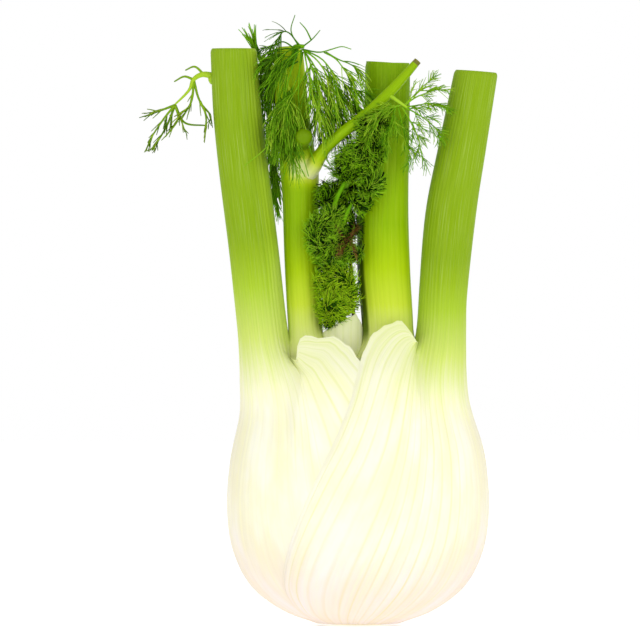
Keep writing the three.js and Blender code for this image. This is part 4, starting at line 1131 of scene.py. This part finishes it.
rearFrond = {
    "name": "rearFrond", "node": "rear_frond", "slot": "dark_frond", "colour": "dark",
    "tone": 0.38, "mottle": 0.16, "inFront": 0.0, "frontFrom": 0, "branchRadius": 0.36,
    "twig": {"length": 7.5, "open": 36, "twist": 0.7, "droop": 0.2, "curl": 0.15, "steps": 7},
    "thread": {"count": 8, "length": 4.8, "open": 32, "twist": 0.6, "droop": 0.15, "curl": 0.16, "steps": 5,
               "radius": 0.2, "fork": 0.3},
    "stem": [(-26.4, 2, 196), (-29.6, 8, 202), (-33.6, 12, 214), (-37.6, 11, 223.6), (-40.4, 10, 229.2)],
    "stemRadii": (1.3, 0.9),
    "bundles": [
        (rearTop, (-46.2, 8.6, 238.2), 10, 0.5, 0.46),
        (rearTop, (-42.8, 9, 240.2), 10, 0.45, 0.5),
        (rearTop, (-44.0, 8.6, 236.2), 12, 0.7, 0.42),
        ((-34.4, 9, 189), (-32.6, 9, 168), 30, 1.1, 0.42),
    ],
    "branches": [
        ([(-38.4, 11, 226.8), (-35.2, 12, 223.6), (-33.2, 12, 218.8), (-32.8, 12, 211.6)], 9),
        ([(-38.4, 11, 226.8), (-39, 12, 217.6), (-38.4, 12, 207.6), (-37.6, 11, 198), (-36.8, 10, 190)], 11),
        ([(-37.6, 11, 223.6), (-36.8, 12, 216.4), (-36, 12, 208.4), (-35.2, 11, 200.4)], 11),
        ([(-33.6, 12, 214), (-35.2, 12, 205.2), (-36, 11, 196), (-35.2, 10, 186.8)], 11),
        ([(-34.4, 9, 190), (-34.4, 9, 181.2), (-33.2, 9, 173.2), (-32.2, 9, 168.2)], 8),
        ([(-29.6, 8, 202), (-32, 9, 194.8), (-33.2, 9, 186.8), (-32.8, 9, 178)], 9),
    ],
}
sprigFork, sprigEnd = (-65.8, 0.4, 218.2), (-73.2, -0.4, 208)
leftSprig = {
    "name": "leftSprig", "node": "left_sprig", "slot": "pale_frond", "colour": "sprig",
    "tone": 0.6, "mottle": 0.16, "inFront": 0.0, "frontFrom": 0, "branchRadius": 0.6,
    "twig": {"length": 6, "open": 32, "twist": 0.5, "droop": 0.12, "curl": 0.2, "steps": 6},
    "thread": {"count": 4, "length": 4.2, "open": 28, "twist": 0.5, "droop": 0.1, "curl": 0.2, "steps": 5,
               "radius": 0.36, "fork": 0.2},
    "stem": [(-52, 1, 217.6), (-58.6, 1.2, 219.8), (-62.4, 1, 220.2), sprigFork, (-67.4, 0, 214.2),
             (-74, -0.4, 207.4)],
    "stemRadii": (1.7, 0.34),
    "branches": [
        ([(-61.6, 1, 220.2), (-65.4, 1.6, 223.4), (-69, 2, 222)], 0),
        ([sprigFork, (-69.4, 0, 219.4), (-73.4, -0.4, 217.4)], 0),
        ([sprigEnd, (-78.4, -1, 206), (-85.4, -1.4, 203.4)], 1),
        ([sprigEnd, (-77.6, -2, 202.6), (-84, -3, 193)], 2),
        ([sprigEnd, (-76.4, 1, 200), (-82.2, 2, 190)], 2),
        ([sprigEnd, (-72, 0, 202.6), (-77, 0.4, 195.4)], 1),
        ([sprigEnd, (-69.4, 1.4, 201), (-60.6, 1.6, 199.8)], 0),
        ([sprigFork, (-66.6, -1, 209.6), (-70.4, -1.4, 202.8)], 2),
        ([sprigFork, (-63.2, 0, 209.4), (-57.6, -1, 202.6)], 1),
        ([(-63.2, 0, 209.4), (-61, -1.6, 204.6), (-60.6, -2, 198.6)], 1),
    ],
}
branchFrond = {
    "name": "branchFrond", "node": "branch_frond", "slot": "pale_frond", "colour": "pale",
    "tone": 0.6, "mottle": 0.16, "inFront": 0.2, "frontFrom": -8, "branchRadius": 0.36,
    "twig": {"length": 6, "open": 42, "twist": 0.7, "droop": 0.12, "curl": 0.2, "steps": 6},
    "thread": {"count": 9, "length": 4.2, "open": 36, "twist": 0.6, "droop": 0.1, "curl": 0.2, "steps": 5,
               "radius": 0.21, "fork": 0.35},
    "stem": [(11.4, -12.4, 212.4), (15, -14.6, 209.8), (19.4, -14.6, 206.8)],
    "stemRadii": (1.0, 0.5),
    "branches": [
        ([(18.4, -14.6, 207.6), (22.4, -14, 211.6), (26.4, -13, 215.6), (30.4, -12.6, 218.4)], 3),
        ([(18.4, -14.6, 207.6), (23.2, -14, 210.8), (28, -13, 212.8), (32.4, -12.6, 214.8)], 4),
        ([(18.4, -14.6, 206.8), (24, -14, 207.6), (28.8, -13, 208.4), (34.4, -12.6, 206.8)], 5),
        ([(18.4, -14.6, 206.8), (23.2, -14, 204.4), (28.8, -13, 200.4), (33.2, -12, 195.6)], 6),
        ([(17.6, -14.6, 206.8), (20.8, -14, 201.2), (24, -13, 194), (25.6, -12, 186.8)], 6),
        ([(16, -14.6, 206.8), (17.6, -14, 199.6), (19.2, -13, 192.4), (21.6, -12.4, 184.4)], 5),
        ([(15.2, -14.6, 207.6), (13.6, -15.5, 202.8), (12, -15.5, 196.4), (10.4, -14, 190)], 10),
        ([(14.4, -14.6, 207.6), (10.4, -16, 204.4), (6.4, -16, 199.6), (3.2, -15, 194.8)], 10),
        ([(16.8, -14.6, 207.6), (13.6, -16, 206.8), (10.4, -16, 206), (7.2, -16, 202.8)], 7),
    ],
}
upperHeart = {
    "name": "upperHeartFrond", "node": "upper_heart_frond", "slot": "dark_frond", "colour": "dark",
    "tone": 0.62, "mottle": 0.12, "inFront": 0.3, "frontFrom": -6, "tousle": 0.38, "branchRadius": 0.3,
    "twig": {"length": 5.2, "open": 45, "twist": 0.6, "droop": 0.0, "curl": 0.3, "steps": 6},
    "thread": {"count": 13, "length": 2.7, "open": 52, "twist": 0.35, "droop": 0.0, "curl": 0.35, "steps": 5,
               "radius": 0.17, "fork": 0.08},
    "layers": heartLayers,
    "stem": [(-5.5, 2.6, 108), (-6.6, 3.6, 132), (-8, 2, 150), (-8.4, -3, 164), (-4, -9, 177), (2, -11, 189)],
    "stemRadii": (1.5, 1.0),
    "lumps": [(5.4, -12.5, 199.2, 6.0, 4.2, 5.6), (2.6, -12, 188.4, 7.2, 4.8, 7.0), (5.2, -12, 177.2, 4.4, 4.4, 6.0),
              (-3.2, -9.5, 184.4, 5.4, 4.6, 7.6), (-12.2, -8.5, 171.6, 3.8, 3.6, 5.4, -0.2),
              (1.2, -11, 168.8, 4.2, 3.6, 3.4), (-4.4, -5, 174.0, 4.4, 3, 6.4, -0.3)],
    "shoots": [([(-10.4, -9.2, 165.0), (-8.8, -11.4, 170), (-5.4, -12.2, 176.6)], 1.3),
               ([(-6.4, -9.6, 160.0), (-4.6, -11.4, 164.6), (-2.6, -11.8, 168.2)], 1.1)],
    "branches": [([(-4, -9, 177), (-8.6, -7.6, 179.6), (-12.6, -7, 186.6)], 5)],
}
middleHeart = dict(
    upperHeart,
    name="middleHeartFrond",
    node="middle_heart_frond",
    tone=0.72,
    frontFrom=-3,
    stem=[(-10, 2.6, 106), (-11, 3, 130), (-12, 1, 143), (-13.6, -6, 150), (-14, -9.6, 156)],
    stemRadii=(1.3, 1.0),
    lumps=[(-14.4, -11.5, 155.6, 6.0, 4.6, 8.4), (-8.4, -9, 154.8, 4.4, 4, 7.0), (-2.0, -9.5, 148.8, 4.4, 3, 2.8),
           (-4.0, -5, 160.4, 4.4, 3, 5.6, -0.3), (-10.0, -9.5, 164.4, 5.0, 3.4, 3.2),
           (-10.6, -8.4, 146.4, 5.2, 3.4, 4.6)],
    shoots=[],
    branches=[],
)
lowerHeart = dict(
    middleHeart,
    name="lowerHeartFrond",
    node="lower_heart_frond",
    slot="moss_frond",
    colour="moss",
    tone=0.7,
    frontFrom=-2,
    thread=dict(middleHeart["thread"], twist=0.3, curl=0.3),
    stem=[(-6.4, -2.6, 108), (-6.8, -4, 122), (-7.4, -5.6, 133)],
    stemRadii=(1.4, 1.1),
    lumps=[(-9.0, -6.5, 137.4, 8.0, 4.8, 7.4), (-9.4, -6.5, 128.0, 6.4, 4.8, 6.4), (-4.6, -6, 132.4, 3.8, 4, 7),
           (-11.2, -5.6, 125.4, 3.2, 3, 4.4), (-11.8, -6, 121.8, 2.8, 2.4, 3.0)],
)
witheredEnd = (-3.6, -4.6, 153.6)
witheredSprig = dict(
    middleHeart,
    name="witheredSprig",
    node="withered_sprig",
    slot="withered",
    colour="withered",
    tone=0.56,
    frontFrom=-2,
    twig=dict(middleHeart["twig"], length=3.6, twist=0.8, droop=0.1, curl=0.5),
    thread=dict(middleHeart["thread"], count=9, length=2.4, open=50, twist=0.8, droop=0.1, curl=0.5, fork=0.2),
    stem=[(-1.6, -0.4, 108), (-2, -0.6, 130), (-3, -1.4, 146), witheredEnd],
    stemRadii=(0.8, 0.6),
    lumps=[(-4.6, -11.6, 153.6, 1.9, 1.5, 1.7)],
    branches=[
        ([witheredEnd, (-2.6, -10.6, 155.4), (-1.2, -12.2, 157.4)], 3),
        ([witheredEnd, (-5.2, -11.6, 151.6), (-6.4, -13.0, 150)], 4),
        ([witheredEnd, (-5.6, -12.2, 155.2), (-7.2, -14, 156.6)], 2),
        ([witheredEnd, (-3.0, -11.4, 152.0), (-1.8, -13.0, 151)], 2),
    ],
)


def growFrond(look):
    frond, stem, shoot = Frond(look), growth["stem"], growth["shoot"]
    path = bentClear(curve(look["stem"], stem["steps"]), 0)[None]
    frond.add(path, *look["stemRadii"], stem["sides"], stem["tone"], stem["tips"])
    for points, radius in look.get("shoots", []):
        path = bentClear(curve(points, shoot["steps"]))[None]
        frond.add(path, radius, radius * shoot["taper"], shoot["sides"], shoot["tone"], shoot["tips"])
    for branch in look["branches"]:
        frond.branch(*branch)
    for bundle in look.get("bundles", []):
        frond.bundle(*bundle)
    for lump in look.get("lumps", []):
        frond.lump(*lump)
    frond.finish()


for look in (crownFrond, rearFrond, leftSprig, branchFrond, upperHeart, middleHeart, lowerHeart, witheredSprig):
    growFrond(look)

studio = {
    "floorHalf": 6.0,
    "floorDrop": 0.0002,
    "floorGlow": 0.45,  # keeps the pale floor as white as the backdrop
    "backdrop": 1.0,
    "surround": 0.72,  # light that comes from all round
    "lightsAim": (0, 0, 0.12),
    "key": {"place": (1.2, -1.9, 1.2), "size": 1.2, "power": 13},
    "fill": {"place": (-1.3, -1.9, 0.8), "size": 1.4, "power": 6},
}


def plainFloor():
    half = studio["floorHalf"]
    mesh = bpy.data.meshes.new("floor")
    corners = [(-half, -half, 0), (half, -half, 0), (half, half, 0), (-half, half, 0)]
    mesh.from_pydata(corners, [], [(0, 1, 2, 3)])
    # matt white studio sweep, lit evenly so that no edge of it shows
    material = newMaterial("matt white studio floor", {
        "Base Color": (0.9, 0.9, 0.9, 1), "Roughness": 0.9, "Specular IOR Level": 0.1,
        "Emission Color": (1, 1, 1, 1), "Emission Strength": studio["floorGlow"],
    })[0]
    mesh.materials.append(material)
    floor = bpy.data.objects.new("floor", mesh)
    bpy.context.scene.collection.objects.link(floor)
    floor.location.z = -studio["floorDrop"]


def softLight(name, look):
    lamp = bpy.data.lights.new(name, "AREA")
    lamp.shape, lamp.size, lamp.energy = "SQUARE", look["size"], look["power"]
    item = bpy.data.objects.new(name, lamp)
    bpy.context.scene.collection.objects.link(item)
    item.location = look["place"]
    way = Vector(studio["lightsAim"]) - Vector(look["place"])
    item.rotation_euler = way.to_track_quat("-Z", "Y").to_euler()


def whiteBackdrop():
    world = bpy.data.worlds.new("white backdrop")
    world.use_nodes = True
    tree = world.node_tree
    seen = addNode(tree, "LightPath").outputs["Is Camera Ray"]
    strength = mapRange(tree, seen, 0.0, 1.0, studio["surround"], studio["backdrop"])
    tree.nodes["Background"].inputs["Color"].default_value = (1, 1, 1, 1)
    tree.links.new(strength, tree.nodes["Background"].inputs["Strength"])
    bpy.context.scene.world = world
    bpy.context.scene.view_settings.view_transform = "Standard"


plainFloor()
softLight("key", studio["key"])
softLight("fill", studio["fill"])
whiteBackdrop()

view = {"distance": 4.0, "width": 0.256, "aim": (-0.0152, 0.122), "sensor": 36, "clipEnd": 50}
lens = bpy.data.cameras.new("camera")
lens.sensor_width = view["sensor"]
lens.lens = view["sensor"] * view["distance"] / view["width"]
lens.clip_end = view["clipEnd"]
camera = bpy.data.objects.new("camera", lens)
bpy.context.scene.collection.objects.link(camera)
camera.location = (view["aim"][0], -view["distance"], view["aim"][1])
camera.rotation_euler = (math.pi / 2, 0, 0)
bpy.context.scene.camera = camera
print("floor, lights and camera set")
